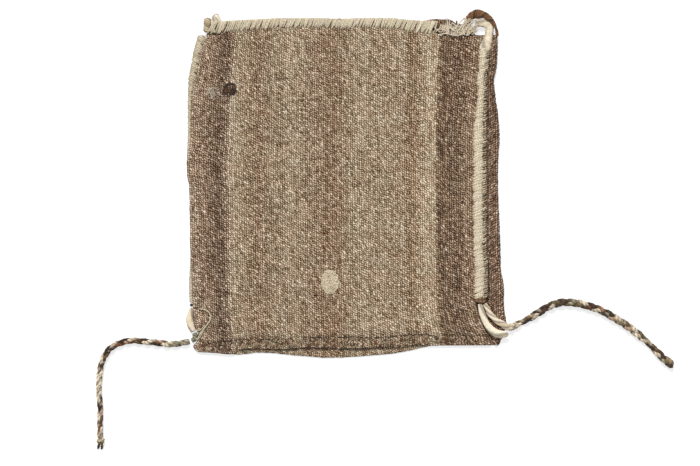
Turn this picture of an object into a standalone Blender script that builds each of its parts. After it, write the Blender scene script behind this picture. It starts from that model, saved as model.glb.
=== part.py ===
"""Empty woven grain bag, lying flat and face up, with its two braided tie cords.

X runs across the bag, Y from the hem up to the mouth, and Z up from the surface it lies on.
The origin is on that surface, under the middle of the bag's outline.
"""
from bisect import bisect_right
from math import ceil, cos, pi, radians, sin

import bmesh
import bpy
from mathutils import Vector

MM = 0.001

# Overall sizes, in metres
BAG_WIDTH = 0.436
BAG_HEIGHT = 0.476
EAR_RISE = 0.0111

# Cloth
CLOTH = 0.0028
INSIDE_ROOM = 0.0066
SIDE_RISE = 0.045
HEM_RISE = 0.025
FIT = 0.0003
SEAM_GAP = 0.0005

# The back's edge, which curls up round the right side and over
CURL_HEIGHT = 0.0104
CURL_SPACE = 0.0004
CURL_STRIP = 0.0198
CURL_STEPS = 6

# Pale binding sewn over the mouth's edge
BINDING = 0.0012
BINDING_UNDER = 0.007
BINDING_SLACK = 0.0015

# Seam cords and the yarn on them, as half widths and half heights
LEFT_CORD_THIN = 0.0022
LEFT_CORD_THICK = 0.0047
RIGHT_SEAM_WIDTH = 0.019
RIGHT_CORD_RISE = 0.0045
OVERCAST_RISE = 0.0034
SEAM_CORD_SHARE = 0.68
WRAP_THICKNESS = 0.0006
ROVING_RISE = 0.003
EAR_CORD_RISE = 0.0038
EAR_LOOP_RISE = 0.0032

# Darns and the loose thread on the front
DARN = 0.0014
THREAD_RADIUS = 0.0012

# Tie cords
LEFT_BRAID_RADIUS = 0.00475
RIGHT_BRAID_RADIUS = 0.006
LEFT_BRAID_POINTS = 13
RIGHT_BRAID_POINTS = 12
THREAD_POINTS = 10

# Side lines, hem and mouth of the whole bag, and levels worked out from the sizes above
LEFT_X = -BAG_WIDTH / 2
RIGHT_X = BAG_WIDTH / 2
HEM_Y = -(BAG_HEIGHT + EAR_RISE) / 2
MOUTH_Y = HEM_Y + BAG_HEIGHT
ON_BACK_Z = CLOTH + FIT
HEM_Z = ON_BACK_Z + CLOTH / 2
MIDDLE_Z = CLOTH + INSIDE_ROOM + CLOTH / 2
LEFT_EDGE_Z = 2 * (FIT + LEFT_CORD_THIN) + CLOTH / 2
RIGHT_EDGE_Z = CURL_HEIGHT - CLOTH / 2
LOW_CURL_HEIGHT = 2 * CLOTH + CURL_SPACE
ON_CURL_Z = LOW_CURL_HEIGHT + FIT

# Marks place a point along the bag. From 0 up a mark is mm above the hem or mm in from the
# left side, and below 0 it is mm down from the mouth or mm in from the right side.
# Each outline is a list of (mark, offset in mm).
FRONT_LEFT = (
    (8, 13.0), (12, 8.0), (17, 5.9), (21, 9.0), (25, 11.0), (34, 11.0), (39, 8.9), (45, 6.8),
    (63, 4.5), (95, 3.6), (115, 2.7), (148, 0.7),
    (-235, -1.1), (-218, -3.9), (-193, -4.3), (-178, 0.3), (-161, 1.0), (-136, 1.7),
    (-109, 3.0), (-97, 4.4), (-84, 8.0), (-69, 11.2), (-56, 13.6), (-39, 17.8), (-22, 22.6),
)
LEFT_TUCK = (
    (77, 0.4), (95, 0.3), (115, 1.4), (132, 3.6), (148, 5.0),
    (-218, 5.3), (-193, 5.4), (-178, 1.3), (-161, 1.1), (-143, 0.5), (-126, 0.0),
)
RIGHT_OUTLINE = (
    (17, -3.8), (20, -2.4), (31, 3.2), (39, 5.3), (48, 7.5), (56, 6.8), (73, 3.9), (98, 4.0),
    (123, -0.2), (148, -1.0),
    (-218, -4.6), (-185, -3.0), (-160, -2.5), (-134, -4.5), (-109, -8.1), (-90, -10.2),
    (-67, -6.5), (-45, -4.9), (-28, -5.2), (-22, -5.9),
)
STRIP_EDGE = (
    (19, 9.0), (31, 8.3), (60, 4.8), (81, 4.2), (109, 4.0), (130, 2.8), (148, 0.0),
    (-171, 0.0), (-115, -0.2), (-87, -0.5), (-66, 2.6), (-45, 4.1), (-39, 4.9), (-28, 7.9),
)
CURL_LIFT = ((60, 0.0), (105, 1.0), (-45, 1.0), (-24, 0.6))
RIGHT_SEAM = (
    (19, 0.22), (31, 0.34), (39, 0.57), (50, 0.77), (62, 0.94), (81, 1.13), (109, 1.12),
    (130, 1.04), (148, 1.0),
    (-171, 1.0), (-122, 0.80), (-101, 0.61), (-87, 0.75), (-45, 0.74), (-40, 0.76), (-28, 0.78),
)
BACK_FOOT = (
    (8, 8.4), (33, 6.6), (58, 4.3), (92, 7.3), (117, 6.0), (151, 2.9), (201, 0.0),
    (-201, 1.3), (-176, 2.8), (-142, 5.7), (-109, 10.6), (-75, 16.7), (-42, 17.7), (-8, 17.7),
)
FRONT_FOOT = (
    (8, 8.6), (33, 7.2), (58, 5.2), (68, 11.0), (92, 12.9), (137, 11.9), (168, 14.7),
    (-212, 12.6), (-184, 14.3), (-142, 15.4), (-117, 17.7), (-86, 17.7), (-10, 18.0),
)
BACK_TOP = (
    (24, -6.0), (50, -3.9), (76, -2.8), (100, -1.2), (127, -0.8),
    (-203, -0.6), (-150, -0.6), (-130, -2.5), (-100, -4.2), (-75, -1.2), (-52, -1.4),
    (-38, -8.4), (-26, -12.6), (-16, -17.0), (-10, -24.0),
)
MOUTH_LIP = (
    (44, -5.2), (75, -3.6), (100, -2.5), (126, -1.1), (188, -1.1),
    (-226, -3.1), (-205, -1.1), (-162, -0.8), (-130, -3.5), (-100, -5.6),
)
BINDING_DEPTH = ((44, 15.5), (100, 13.5), (188, 12.5), (-205, 12.5), (-130, 15.0), (-100, 17.0))
TORN_EDGE = ((-100, -7.0), (-95, -21.0), (-79, -25.2), (-65, -21.7), (-50, -25.9), (-30, -25.2))
LEFT_NOTCH = ((42, -24.0), (50, -8.0))
LEFT_CORD_WIDTH = ((-126, 0.0), (-109, 0.16), (-97, 0.36), (-84, 1.0))
LEFT_CORD_RISE = ((-126, 0.0), (-109, 0.08), (-97, 0.28), (-84, 0.72))

# Where the binding, the seam cords and the wrap begin and end, as marks
BINDING_SPAN = (45, -101)
LEFT_CORD_SPAN = (77, -23)
RIGHT_CORD_SPAN = (85, -43)
WRAP_SPAN = (78.5, 83.5)

# Grid lines of the two cloths, as marks, and how many more fill the middle
ROW_MARKS_LOW = (0, 4, 8, 13, 18, 24, 30, 38, 47, 60, 78, 98, 120, 146)
ROW_MARKS_HIGH = (
    -235, -218, -193, -178, -161, -140, -122, -108, -96, -84, -72, -60, -48, -36, -24, -14, -6,
)
FRONT_COLUMNS_LEFT = (0, 6, 13, 20, 27, 36, 48, 62)
FRONT_COLUMNS_RIGHT = (76, 69, 62, 48, 34, 20, 8, 0)
BACK_COLUMNS_LEFT = (0, 14, 36, 62)
BACK_COLUMNS_RIGHT = (66, 44, 30, 16, 6, 0)
MIDDLE_COLUMNS = 10
EDGE_REACH = 0.09

# Routes through hand-chosen points, each (x, y, z, half width, half height) in mm.
# x and y are measured from the corner of the bag that the piece belongs to.
LEFT_CORNER_ROVING = (
    (1.4, 70.0, 2.7, 2.2, 2.4), (0.7, 65.1, 3.3, 2.9, 3.0), (-0.5, 58.8, 3.9, 4.3, 3.6),
    (-1.0, 53.9, 4.1, 5.1, 3.8), (-0.1, 49.0, 4.1, 5.0, 3.8), (1.6, 43.4, 4.1, 4.5, 3.8),
    (3.8, 38.4, 4.0, 3.9, 3.7), (4.7, 36.6, 3.9, 3.7, 3.6),
)
LEFT_CORNER_TIE = (
    (5.6, 35.2, 4.3, 3.7, 4.0), (6.8, 30.7, 4.5, 3.6, 4.2), (5.2, 26.1, 4.5, 3.4, 4.2),
    (1.4, 24.1, 4.4, 3.4, 4.1),
)
LEFT_EAR_CORD = (
    (22.6, -20.4, 0.0, 4.5, 3.6), (23.2, -11.2, 0.2, 4.7, 3.8), (23.7, -2.1, 0.2, 4.7, 3.8),
    (23.7, 0.6, 0.0, 4.5, 3.6),
)
LEFT_EAR_LOOP = (
    (32.6, -21.4, 0.0, 2.5, 3.0), (31.8, -11.2, 0.0, 2.6, 3.2), (32.2, -1.6, 0.2, 2.6, 3.2),
    (35.9, 3.4, 0.4, 2.6, 3.2), (39.6, -1.6, 0.2, 2.6, 3.2), (41.0, -9.8, 0.0, 2.5, 3.0),
    (40.2, -21.4, 0.0, 2.3, 2.8),
)
RIGHT_LOWER_ROVING = (
    (-30.8, 76.4, 0.0, 2.8, 2.8), (-29.4, 70.0, 0.0, 3.3, 3.0), (-27.2, 61.6, 0.0, 3.9, 3.0),
    (-23.8, 53.2, 0.0, 4.1, 3.0), (-19.2, 44.8, 0.0, 4.5, 3.0), (-13.0, 38.1, 0.0, 4.9, 3.0),
    (-5.9, 33.9, 0.0, 5.1, 3.0), (5.6, 33.2, 0.0, 4.0, 3.0),
)
RIGHT_UPPER_ROVING = (
    (-24.0, 76.4, 0.0, 3.0, 2.8), (-20.6, 69.7, 0.0, 3.2, 3.0), (-16.4, 62.4, 0.0, 3.5, 3.0),
    (-10.8, 55.4, 0.0, 3.8, 3.0), (-3.8, 50.1, 0.0, 4.0, 3.0), (4.0, 45.6, 0.0, 4.3, 3.0),
)
RIGHT_EAR_CORD = (
    (-49.3, -14.7, 3.9, 3.9, 3.6), (-47.5, -4.2, 4.1, 4.2, 3.8), (-42.3, 2.9, 4.3, 4.7, 4.0),
    (-33.9, 5.7, 4.3, 5.1, 4.0), (-24.8, 3.9, 5.3, 4.0, 3.0), (-17.1, -0.4, 7.7, 2.7, 2.0),
    (-11.6, -7.0, 8.3, 2.1, 1.6), (-8.6, -13.4, 8.3, 1.5, 1.3),
)
RIGHT_EAR_ROVING = (
    (-37.4, -5.8, 3.3, 3.4, 2.6), (-29.0, -7.0, 3.3, 4.4, 2.8), (-21.2, -7.8, 3.3, 4.7, 2.8),
    (-16.8, -12.8, 3.3, 4.7, 2.8), (-17.4, -20.3, 3.6, 4.4, 3.2), (-19.8, -28.7, 4.2, 5.0, 3.6),
    (-23.1, -39.8, 5.6, 5.3, 4.2),
)
LEFT_BRAID_KNOT = (
    (-126.0, -114.7, 4.7, 4.3, 4.4), (-125.7, -117.9, 5.1, 6.4, 4.8),
    (-125.3, -121.4, 4.3, 5.2, 4.0), (-125.0, -125.6, 3.3, 3.2, 3.0),
)

# Cord routes, as (x, y, z) in mm from the corner that the cord leaves. z is its middle.
LEFT_BRAID_ROUTE = (
    (-1.2, 23.6, 4.75), (-10.2, 21.1, 4.75), (-20.1, 19.7, 4.75), (-30.1, 19.3, 4.75),
    (-45.8, 21.1, 4.75), (-63.0, 22.7, 4.75), (-77.3, 24.1, 4.75), (-88.7, 23.4, 4.75),
    (-101.5, 19.7, 4.75), (-113.0, 12.6, 4.75), (-120.8, 1.3, 4.75), (-125.1, -10.2, 4.75),
    (-127.2, -24.5, 4.75), (-128.2, -37.4, 4.75), (-127.9, -50.3, 4.75), (-126.5, -64.5, 4.75),
    (-126.3, -78.8, 4.75), (-126.5, -93.1, 4.75), (-126.3, -107.4, 4.75), (-126.1, -113.2, 4.75),
)
RIGHT_BRAID_ROUTE = (
    (10.0, 41.4, 7.4), (24.6, 48.3, 6.2), (40.3, 56.1, 6.0), (54.0, 65.0, 6.0),
    (67.9, 72.8, 6.0), (85.5, 77.8, 6.0), (105.1, 76.7, 6.0), (124.7, 71.8, 6.0),
    (140.4, 65.9, 6.0), (156.2, 57.1, 6.0), (173.9, 46.3, 6.0), (189.5, 34.6, 6.0),
    (203.4, 22.8, 6.0), (215.2, 10.9, 6.0), (225.0, 1.1, 6.0), (234.8, -6.7, 6.0),
    (240.7, -8.7, 6.0),
)
LOOSE_THREAD_ROUTE = (
    (12.3, 68.9), (18.8, 67.8), (24.2, 65.7), (27.3, 61.9), (28.4, 57.7), (27.9, 52.8),
    (25.2, 48.6), (20.4, 42.6), (16.7, 37.2), (14.0, 32.0),
)

# Darns, each an outline of (x, y) points in mm from a corner of the bag
CREAM_DARN = (
    (184.0, 122.5), (193.0, 124.3), (205.5, 122.0), (208.3, 110.0), (207.0, 96.5),
    (198.0, 89.4), (189.0, 91.0), (184.5, 99.0), (182.9, 111.0),
)
DARK_DARN = (
    (45.5, -92.0), (53.0, -88.0), (63.5, -89.0), (66.4, -97.0), (62.5, -105.5), (52.0, -109.5),
    (44.6, -103.5),
)
PALE_DARN = (
    (22.0, -98.0), (31.0, -95.5), (41.0, -97.5), (43.9, -104.0), (40.5, -113.5), (31.0, -116.5),
    (22.6, -110.5),
)


def up(mark):
    """Y of a mark above the hem, or below the mouth if it is negative."""
    return HEM_Y + mark * MM if mark >= 0 else MOUTH_Y + mark * MM


def across(mark):
    """X of a mark in from the left side, or from the right side if it is negative."""
    return LEFT_X + mark * MM if mark >= 0 else RIGHT_X + mark * MM


def tangent(slopes, index):
    """Slope of a curve at one of its points, level where the curve turns back."""
    if index == 0 or index == len(slopes):
        return slopes[min(index, len(slopes) - 1)]
    before, after = slopes[index - 1], slopes[index]
    return 2 * before * after / (before + after) if before * after > 0 else 0.0


def curve(points, place):
    """Smooth function through (mark, value) points, level beyond its ends, with no overshoot."""
    spots = [place(mark) for mark, _ in points]
    values = [value for _, value in points]
    slopes = [(values[i + 1] - values[i]) / (spots[i + 1] - spots[i]) for i in range(len(spots) - 1)]

    def value_at(spot):
        if spot <= spots[0]:
            return values[0]
        if spot >= spots[-1]:
            return values[-1]
        i = bisect_right(spots, spot) - 1
        step = spots[i + 1] - spots[i]
        t = (spot - spots[i]) / step
        start, end = tangent(slopes, i) * step, tangent(slopes, i + 1) * step
        rise = values[i + 1] - values[i]
        return values[i] + t * (start + t * (3 * rise - 2 * start - end + t * (start + end - 2 * rise)))

    return value_at


front_left_offset = curve(FRONT_LEFT, up)
left_tuck = curve(LEFT_TUCK, up)
right_offset = curve(RIGHT_OUTLINE, up)
strip_offset = curve(STRIP_EDGE, up)
curl_lift = curve(CURL_LIFT, up)
right_seam_share = curve(RIGHT_SEAM, up)
left_cord_width = curve(LEFT_CORD_WIDTH, up)
left_cord_rise = curve(LEFT_CORD_RISE, up)
back_foot_offset = curve(BACK_FOOT, across)
front_foot_offset = curve(FRONT_FOOT, across)
back_top_offset = curve(BACK_TOP, across)
mouth_lip_offset = curve(MOUTH_LIP, across)
torn_offset = curve(TORN_EDGE, across)
left_notch_offset = curve(LEFT_NOTCH, across)
binding_depth = curve(BINDING_DEPTH, across)


def ease(share):
    """Rise from 0 to 1 that starts and ends level."""
    share = min(max(share, 0.0), 1.0)
    return share * share * (3 - 2 * share)


def front_left(y):
    return LEFT_X + front_left_offset(y) * MM


def strip_edge(y):
    """Free edge of the back's curled strip."""
    return RIGHT_X - CURL_STRIP + strip_offset(y) * MM


def front_right(y):
    return strip_edge(y) - RIGHT_SEAM_WIDTH * right_seam_share(y)


def front_foot(x):
    return HEM_Y + front_foot_offset(x) * MM


def mouth_lip(x):
    """Outer edge of the binding along the mouth."""
    return MOUTH_Y + mouth_lip_offset(x) * MM


def front_top(x):
    """Top of the front cloth: inside the binding, but lower at the torn corner and the left ear."""
    bound = mouth_lip(x) - BINDING - BINDING_SLACK
    if x > across(BINDING_SPAN[1]):
        return min(bound, MOUTH_Y + torn_offset(x) * MM)
    return min(bound, MOUTH_Y + left_notch_offset(x) * MM) if x < across(LEFT_NOTCH[-1][0]) else bound


def front_height(x, y):
    """Height of the middle of the front cloth, which lies low along the hem and both seams."""
    top = MIDDLE_Z - HEM_Z
    left_share = (LEFT_EDGE_Z - HEM_Z) / top
    right_share = (RIGHT_EDGE_Z - HEM_Z) / top
    from_left = left_share + (1 - left_share) * ease((x - front_left(y)) / SIDE_RISE)
    from_right = right_share + (1 - right_share) * ease((front_right(y) - x) / SIDE_RISE)
    return HEM_Z + top * from_left * from_right * ease((y - front_foot(x)) / HEM_RISE)


def left_cord(y):
    """Middle, half width and half height of the left seam cord, beside or under the front's edge."""
    half_width = LEFT_CORD_THIN + (LEFT_CORD_THICK - LEFT_CORD_THIN) * left_cord_width(y)
    half_height = LEFT_CORD_THIN + (LEFT_CORD_THICK - LEFT_CORD_THIN) * left_cord_rise(y)
    middle = front_left(y) + left_tuck(y) * MM - SEAM_GAP - half_width
    return middle, half_width, half_height


def right_cords(y):
    """Middle and half width of the right seam cord and of the overcast yarn beside it."""
    room = min(RIGHT_SEAM_WIDTH * right_seam_share(y), RIGHT_SEAM_WIDTH) - 3 * SEAM_GAP
    cord = room * SEAM_CORD_SHARE / 2
    overcast = room * (1 - SEAM_CORD_SHARE) / 2
    cord_x = front_right(y) + SEAM_GAP + cord
    return cord_x, cord, cord_x + cord + SEAM_GAP + overcast, overcast


def row_levels():
    """Y of each grid row, before the cloth's own edges shift it."""
    low = [up(mark) for mark in ROW_MARKS_LOW]
    high = [up(mark) for mark in ROW_MARKS_HIGH]
    return low + [(low[-1] + high[0]) / 2] + high + [MOUTH_Y]


def shifted(level, foot, top):
    """Row height where the cloth ends at foot and top. The shift fades out away from the edges."""
    near_foot = max(0.0, 1 - (level - HEM_Y) / EDGE_REACH) ** 2
    near_top = max(0.0, 1 - (MOUTH_Y - level) / EDGE_REACH) ** 2
    return level + (foot - HEM_Y) * near_foot + (top - MOUTH_Y) * near_top


def column_shares(left_marks, right_marks, width):
    """Shares of a width at marks near both sides, with even steps between them."""
    left = [mark * MM / width for mark in left_marks]
    right = [1 - mark * MM / width for mark in right_marks]
    step = (right[0] - left[-1]) / (MIDDLE_COLUMNS + 1)
    return left + [left[-1] + step * (i + 1) for i in range(MIDDLE_COLUMNS)] + right


def catmull(points, steps):
    """Points on a smooth curve through the given points, with even steps between each two."""
    rows = [points[0], *points, points[-1]]
    found = []
    for i in range(1, len(rows) - 2):
        for step in range(steps):
            t = step / steps
            found.append(tuple(
                0.5 * (2 * b + t * (c - a + t * (2 * a - 5 * b + 4 * c - d + t * (3 * b - a - 3 * c + d))))
                for a, b, c, d in zip(*rows[i - 1:i + 3])
            ))
    return found + [tuple(points[-1])]


def even(points, count):
    """The given number of points, evenly spaced along a line of close points."""
    lengths = [0.0]
    for a, b in zip(points, points[1:]):
        lengths.append(lengths[-1] + (Vector(b[:3]) - Vector(a[:3])).length)
    found = []
    for i in range(count):
        target = lengths[-1] * i / (count - 1)
        j = min(max(bisect_right(lengths, target) - 1, 0), len(points) - 2)
        t = (target - lengths[j]) / (lengths[j + 1] - lengths[j])
        found.append(tuple(a + (b - a) * t for a, b in zip(points[j], points[j + 1])))
    return found


def material(name, red, green, blue, roughness=0.9):
    """Matte wool material from 0 to 255 screen colours."""
    made = bpy.data.materials.new(name)
    made.use_nodes = True
    shader = made.node_tree.nodes["Principled BSDF"]
    linear = [((value / 255 + 0.055) / 1.055) ** 2.4 for value in (red, green, blue)]
    shader.inputs["Base Color"].default_value = (*linear, 1.0)
    shader.inputs["Roughness"].default_value = roughness
    shader.inputs["Metallic"].default_value = 0.0
    return made


def add_mesh(name, bm, surface):
    """Close off a bmesh as a named object with its faces pointing out."""
    bmesh.ops.recalc_face_normals(bm, faces=bm.faces)
    mesh = bpy.data.meshes.new(name)
    bm.to_mesh(mesh)
    bm.free()
    made = bpy.data.objects.new(name, mesh)
    made.data.materials.append(surface)
    bpy.context.scene.collection.objects.link(made)
    return made


def sheet(bm, rows):
    """Fill a bmesh with one face between each four neighbours of a grid of points."""
    grid = [[bm.verts.new(point) for point in row] for row in rows]
    for low, high in zip(grid, grid[1:]):
        for i in range(len(low) - 1):
            bm.faces.new((low[i], low[i + 1], high[i + 1], high[i]))


def thicken(bm, thickness):
    """Extrude all faces straight up into a closed slab."""
    raised = bmesh.ops.extrude_face_region(bm, geom=bm.faces[:])
    corners = [item for item in raised["geom"] if isinstance(item, bmesh.types.BMVert)]
    bmesh.ops.translate(bm, verts=corners, vec=(0, 0, thickness))


def join_rings(bm, rings):
    """Join rings of points into a closed tube with flat ends."""
    loops = [[bm.verts.new(point) for point in ring] for ring in rings]
    for low, high in zip(loops, loops[1:]):
        for i in range(len(low)):
            j = (i + 1) % len(low)
            bm.faces.new((low[i], low[j], high[j], high[i]))
    bm.faces.new(loops[0])
    bm.faces.new(loops[-1])


def loft(name, stations, sides, surface, round_ends=False):
    """Yarn of changing size through (x, y, z, half width, half height) stations."""
    if round_ends:
        stations = rounded(stations)
    rings = []
    for i, (x, y, z, half_width, half_height) in enumerate(stations):
        before = Vector(stations[max(i - 1, 0)][:3])
        after = Vector(stations[min(i + 1, len(stations) - 1)][:3])
        along = (after - before).normalized()
        side = along.cross(Vector((0, 0, 1))).normalized()
        rise = side.cross(along)
        turns = [2 * pi * (k + 0.5) / sides for k in range(sides)]
        rings.append([
            Vector((x, y, z)) + side * (half_width * cos(turn)) + rise * (half_height * sin(turn))
            for turn in turns
        ])
    bm = bmesh.new()
    join_rings(bm, rings)
    return add_mesh(name, bm, surface)


def rounded(stations):
    """Stations with two smaller ones past each end, which round the end off."""
    def cap(end, inner):
        outward = (Vector(end[:3]) - Vector(inner[:3])).normalized()
        added = []
        for angle in (radians(35), radians(65)):
            centre = Vector(end[:3]) + outward * (end[4] * sin(angle))
            added.append((*centre, end[3] * cos(angle), end[4] * cos(angle)))
        return added

    return [*reversed(cap(stations[0], stations[1])), *stations, *cap(stations[-1], stations[-2])]


def corner_route(points, corner_x, corner_y, base_z=0.0, steps=3):
    """Stations in metres on a smooth route given in mm from a corner of the bag."""
    return [
        (corner_x + x * MM, corner_y + y * MM, base_z + z * MM, width * MM, rise * MM)
        for x, y, z, width, rise in catmull(points, steps)
    ]


def cord(name, points, radius, count, surface):
    """Free cord as a round tube on evenly spaced points of a smooth route."""
    shape = bpy.data.curves.new(name, "CURVE")
    shape.dimensions = "3D"
    shape.twist_mode = "Z_UP"
    shape.bevel_depth = radius
    shape.bevel_resolution = 2
    shape.use_fill_caps = True
    route = even(catmull(points, 8), count)
    line = shape.splines.new("POLY")
    line.points.add(count - 1)
    for point, place in zip(line.points, route):
        point.co = (*place, 1.0)
    shape.materials.append(surface)
    made = bpy.data.objects.new(name, shape)
    bpy.context.scene.collection.objects.link(made)
    return made


def make_front(surface):
    width = front_right(0.0) - front_left(0.0)
    shares = column_shares(FRONT_COLUMNS_LEFT, FRONT_COLUMNS_RIGHT, width)
    rows = []
    for level in row_levels():
        row = []
        for share in shares:
            nominal_x = front_left(level) + (front_right(level) - front_left(level)) * share
            y = shifted(level, front_foot(nominal_x), front_top(nominal_x))
            x = front_left(y) + (front_right(y) - front_left(y)) * share
            row.append((x, y, front_height(x, y) - CLOTH / 2))
        rows.append(row)
    bm = bmesh.new()
    sheet(bm, rows)
    thicken(bm, CLOTH)
    add_mesh("front_panel", bm, surface)


def back_left(y):
    """The back's left edge, just inside the seam cord."""
    return front_left(y) + left_tuck(y) * MM + SEAM_GAP


def make_back(surface):
    """Flat cloth whose right side curls up and over as far as the seam."""
    width = BAG_WIDTH - CURL_HEIGHT
    shares = column_shares(BACK_COLUMNS_LEFT, BACK_COLUMNS_RIGHT, width)
    curl_top = MOUTH_Y + BACK_TOP[-1][1] * MM
    curl_foot = HEM_Y + BACK_FOOT[-1][1] * MM
    rows = []
    for level in row_levels():
        row = []
        for share in shares:
            nominal_x = LEFT_X + width * share
            foot = HEM_Y + back_foot_offset(nominal_x) * MM
            y = shifted(level, foot, MOUTH_Y + back_top_offset(nominal_x) * MM)
            fold = RIGHT_X + right_offset(y) * MM - curl_height(y) / 2
            row.append((back_left(y) + (fold - back_left(y)) * share, y, CLOTH / 2))
        y = shifted(level, curl_foot, curl_top)
        height = curl_height(y)
        fold = RIGHT_X + right_offset(y) * MM - height / 2
        radius = (height - CLOTH) / 2
        for step in range(1, CURL_STEPS + 1):
            angle = pi * step / CURL_STEPS
            row.append((fold + radius * sin(angle), y, height / 2 - radius * cos(angle)))
        row.append((min(strip_edge(y), fold - SEAM_GAP), y, height - CLOTH / 2))
        rows.append(row)
    bm = bmesh.new()
    sheet(bm, rows)
    back = add_mesh("back_panel", bm, surface)
    solid = back.modifiers.new("Cloth thickness", "SOLIDIFY")
    solid.thickness = CLOTH
    solid.offset = 0.0
    solid.use_even_offset = True


def curl_height(y):
    return LOW_CURL_HEIGHT + (CURL_HEIGHT - LOW_CURL_HEIGHT) * curl_lift(y)


def make_binding(surface):
    """Folded strip over the mouth's edge, deeper in front than behind."""
    start, end = across(BINDING_SPAN[0]), across(BINDING_SPAN[1])
    stations = 24
    inner = CLOTH / 2 + FIT
    outer = inner + BINDING
    rings = []
    for i in range(stations + 1):
        x = start + (end - start) * i / stations
        lip = mouth_lip(x)
        deep = binding_depth(x) * MM
        section = (
            (deep, outer), (BINDING, outer), (0.0, outer - BINDING), (0.0, BINDING - outer),
            (BINDING, -outer), (BINDING_UNDER, -outer), (BINDING_UNDER, -inner),
            (BINDING, -inner), (BINDING, inner), (deep, inner),
        )
        rings.append([(x, lip - depth, front_height(x, lip - depth) + rise) for depth, rise in section])
    bm = bmesh.new()
    join_rings(bm, rings)
    add_mesh("mouth_binding", bm, surface)


def make_left_seam(surface):
    start, end = up(LEFT_CORD_SPAN[0]), up(LEFT_CORD_SPAN[1])
    count = ceil((end - start) / 0.0085)
    stations = []
    for i in range(count + 1):
        y = start + (end - start) * i / count
        x, half_width, half_height = left_cord(y)
        stations.append((x, y, FIT + half_height, half_width, half_height))
    loft("left_seam_cord", stations, 10, surface)


def make_right_seam(cord_surface, overcast_surface, wrap_surface):
    """Thick cord and finer overcast yarn side by side, and the wrap round them near the foot."""
    start, end = up(RIGHT_CORD_SPAN[0]), up(RIGHT_CORD_SPAN[1])
    count = ceil((end - start) / 0.0105)
    cords, overcasts = [], []
    for i in range(count + 1):
        y = start + (end - start) * i / count
        cord_x, cord_half, overcast_x, overcast_half = right_cords(y)
        cords.append((cord_x, y, RIGHT_EDGE_Z, cord_half, RIGHT_CORD_RISE))
        overcasts.append((overcast_x, y, RIGHT_EDGE_Z, overcast_half, OVERCAST_RISE))
    loft("right_seam_cord", cords, 10, cord_surface)
    loft("right_seam_overcast", overcasts, 8, overcast_surface)
    cord_x, cord_half, _, _ = right_cords(start)
    rise = RIGHT_CORD_RISE + WRAP_THICKNESS
    stations = [(cord_x, up(mark), RIGHT_EDGE_Z, cord_half, rise) for mark in WRAP_SPAN]
    loft("right_seam_wrap", stations, 12, wrap_surface)


def make_knot(surface):
    """Small dark knot below the left seam cord."""
    bm = bmesh.new()
    bmesh.ops.create_uvsphere(bm, u_segments=10, v_segments=7, radius=1.0)
    bmesh.ops.scale(bm, verts=bm.verts, vec=(2.4 * MM, 1.9 * MM, 2.4 * MM))
    bmesh.ops.translate(bm, verts=bm.verts, vec=(LEFT_X + 0.9 * MM, HEM_Y + 74.0 * MM, 2.7 * MM))
    add_mesh("left_seam_knot", bm, surface)


def make_darn(name, outline, corner_x, corner_y, surface):
    """Thin patch that follows the front cloth, inside an outline of points."""
    points = [(corner_x + x * MM, corner_y + y * MM) for x, y in outline]
    middle_x = sum(x for x, _ in points) / len(points)
    middle_y = sum(y for _, y in points) / len(points)
    bm = bmesh.new()

    def spot(x, y):
        return bm.verts.new((x, y, front_height(x, y) + CLOTH / 2 + FIT))

    centre = spot(middle_x, middle_y)
    outer = [spot(x, y) for x, y in points]
    inner = [spot((x + middle_x) / 2, (y + middle_y) / 2) for x, y in points]
    for i in range(len(points)):
        j = (i + 1) % len(points)
        bm.faces.new((outer[i], outer[j], inner[j], inner[i]))
        bm.faces.new((inner[i], inner[j], centre))
    thicken(bm, DARN)
    add_mesh(name, bm, surface)


def make_braids(left_surface, right_surface, knot_surface):
    left = [(LEFT_X + x * MM, HEM_Y + y * MM, z * MM) for x, y, z in LEFT_BRAID_ROUTE]
    cord("left_braid", left, LEFT_BRAID_RADIUS, LEFT_BRAID_POINTS, left_surface)
    right = [(RIGHT_X + x * MM, HEM_Y + y * MM, z * MM) for x, y, z in RIGHT_BRAID_ROUTE]
    cord("right_braid", right, RIGHT_BRAID_RADIUS, RIGHT_BRAID_POINTS, right_surface)
    knot = corner_route(LEFT_BRAID_KNOT, LEFT_X, HEM_Y)
    loft("left_braid_knot", knot, 10, knot_surface)


def make_thread(surface):
    """Loose thread that lies on the front near its lower left corner."""
    points = []
    for x, y in LOOSE_THREAD_ROUTE:
        place_x, place_y = LEFT_X + x * MM, HEM_Y + y * MM
        height = front_height(place_x, place_y) + CLOTH / 2 + FIT + THREAD_RADIUS
        points.append((place_x, place_y, height))
    cord("loose_thread", points, THREAD_RADIUS, THREAD_POINTS, surface)


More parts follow.
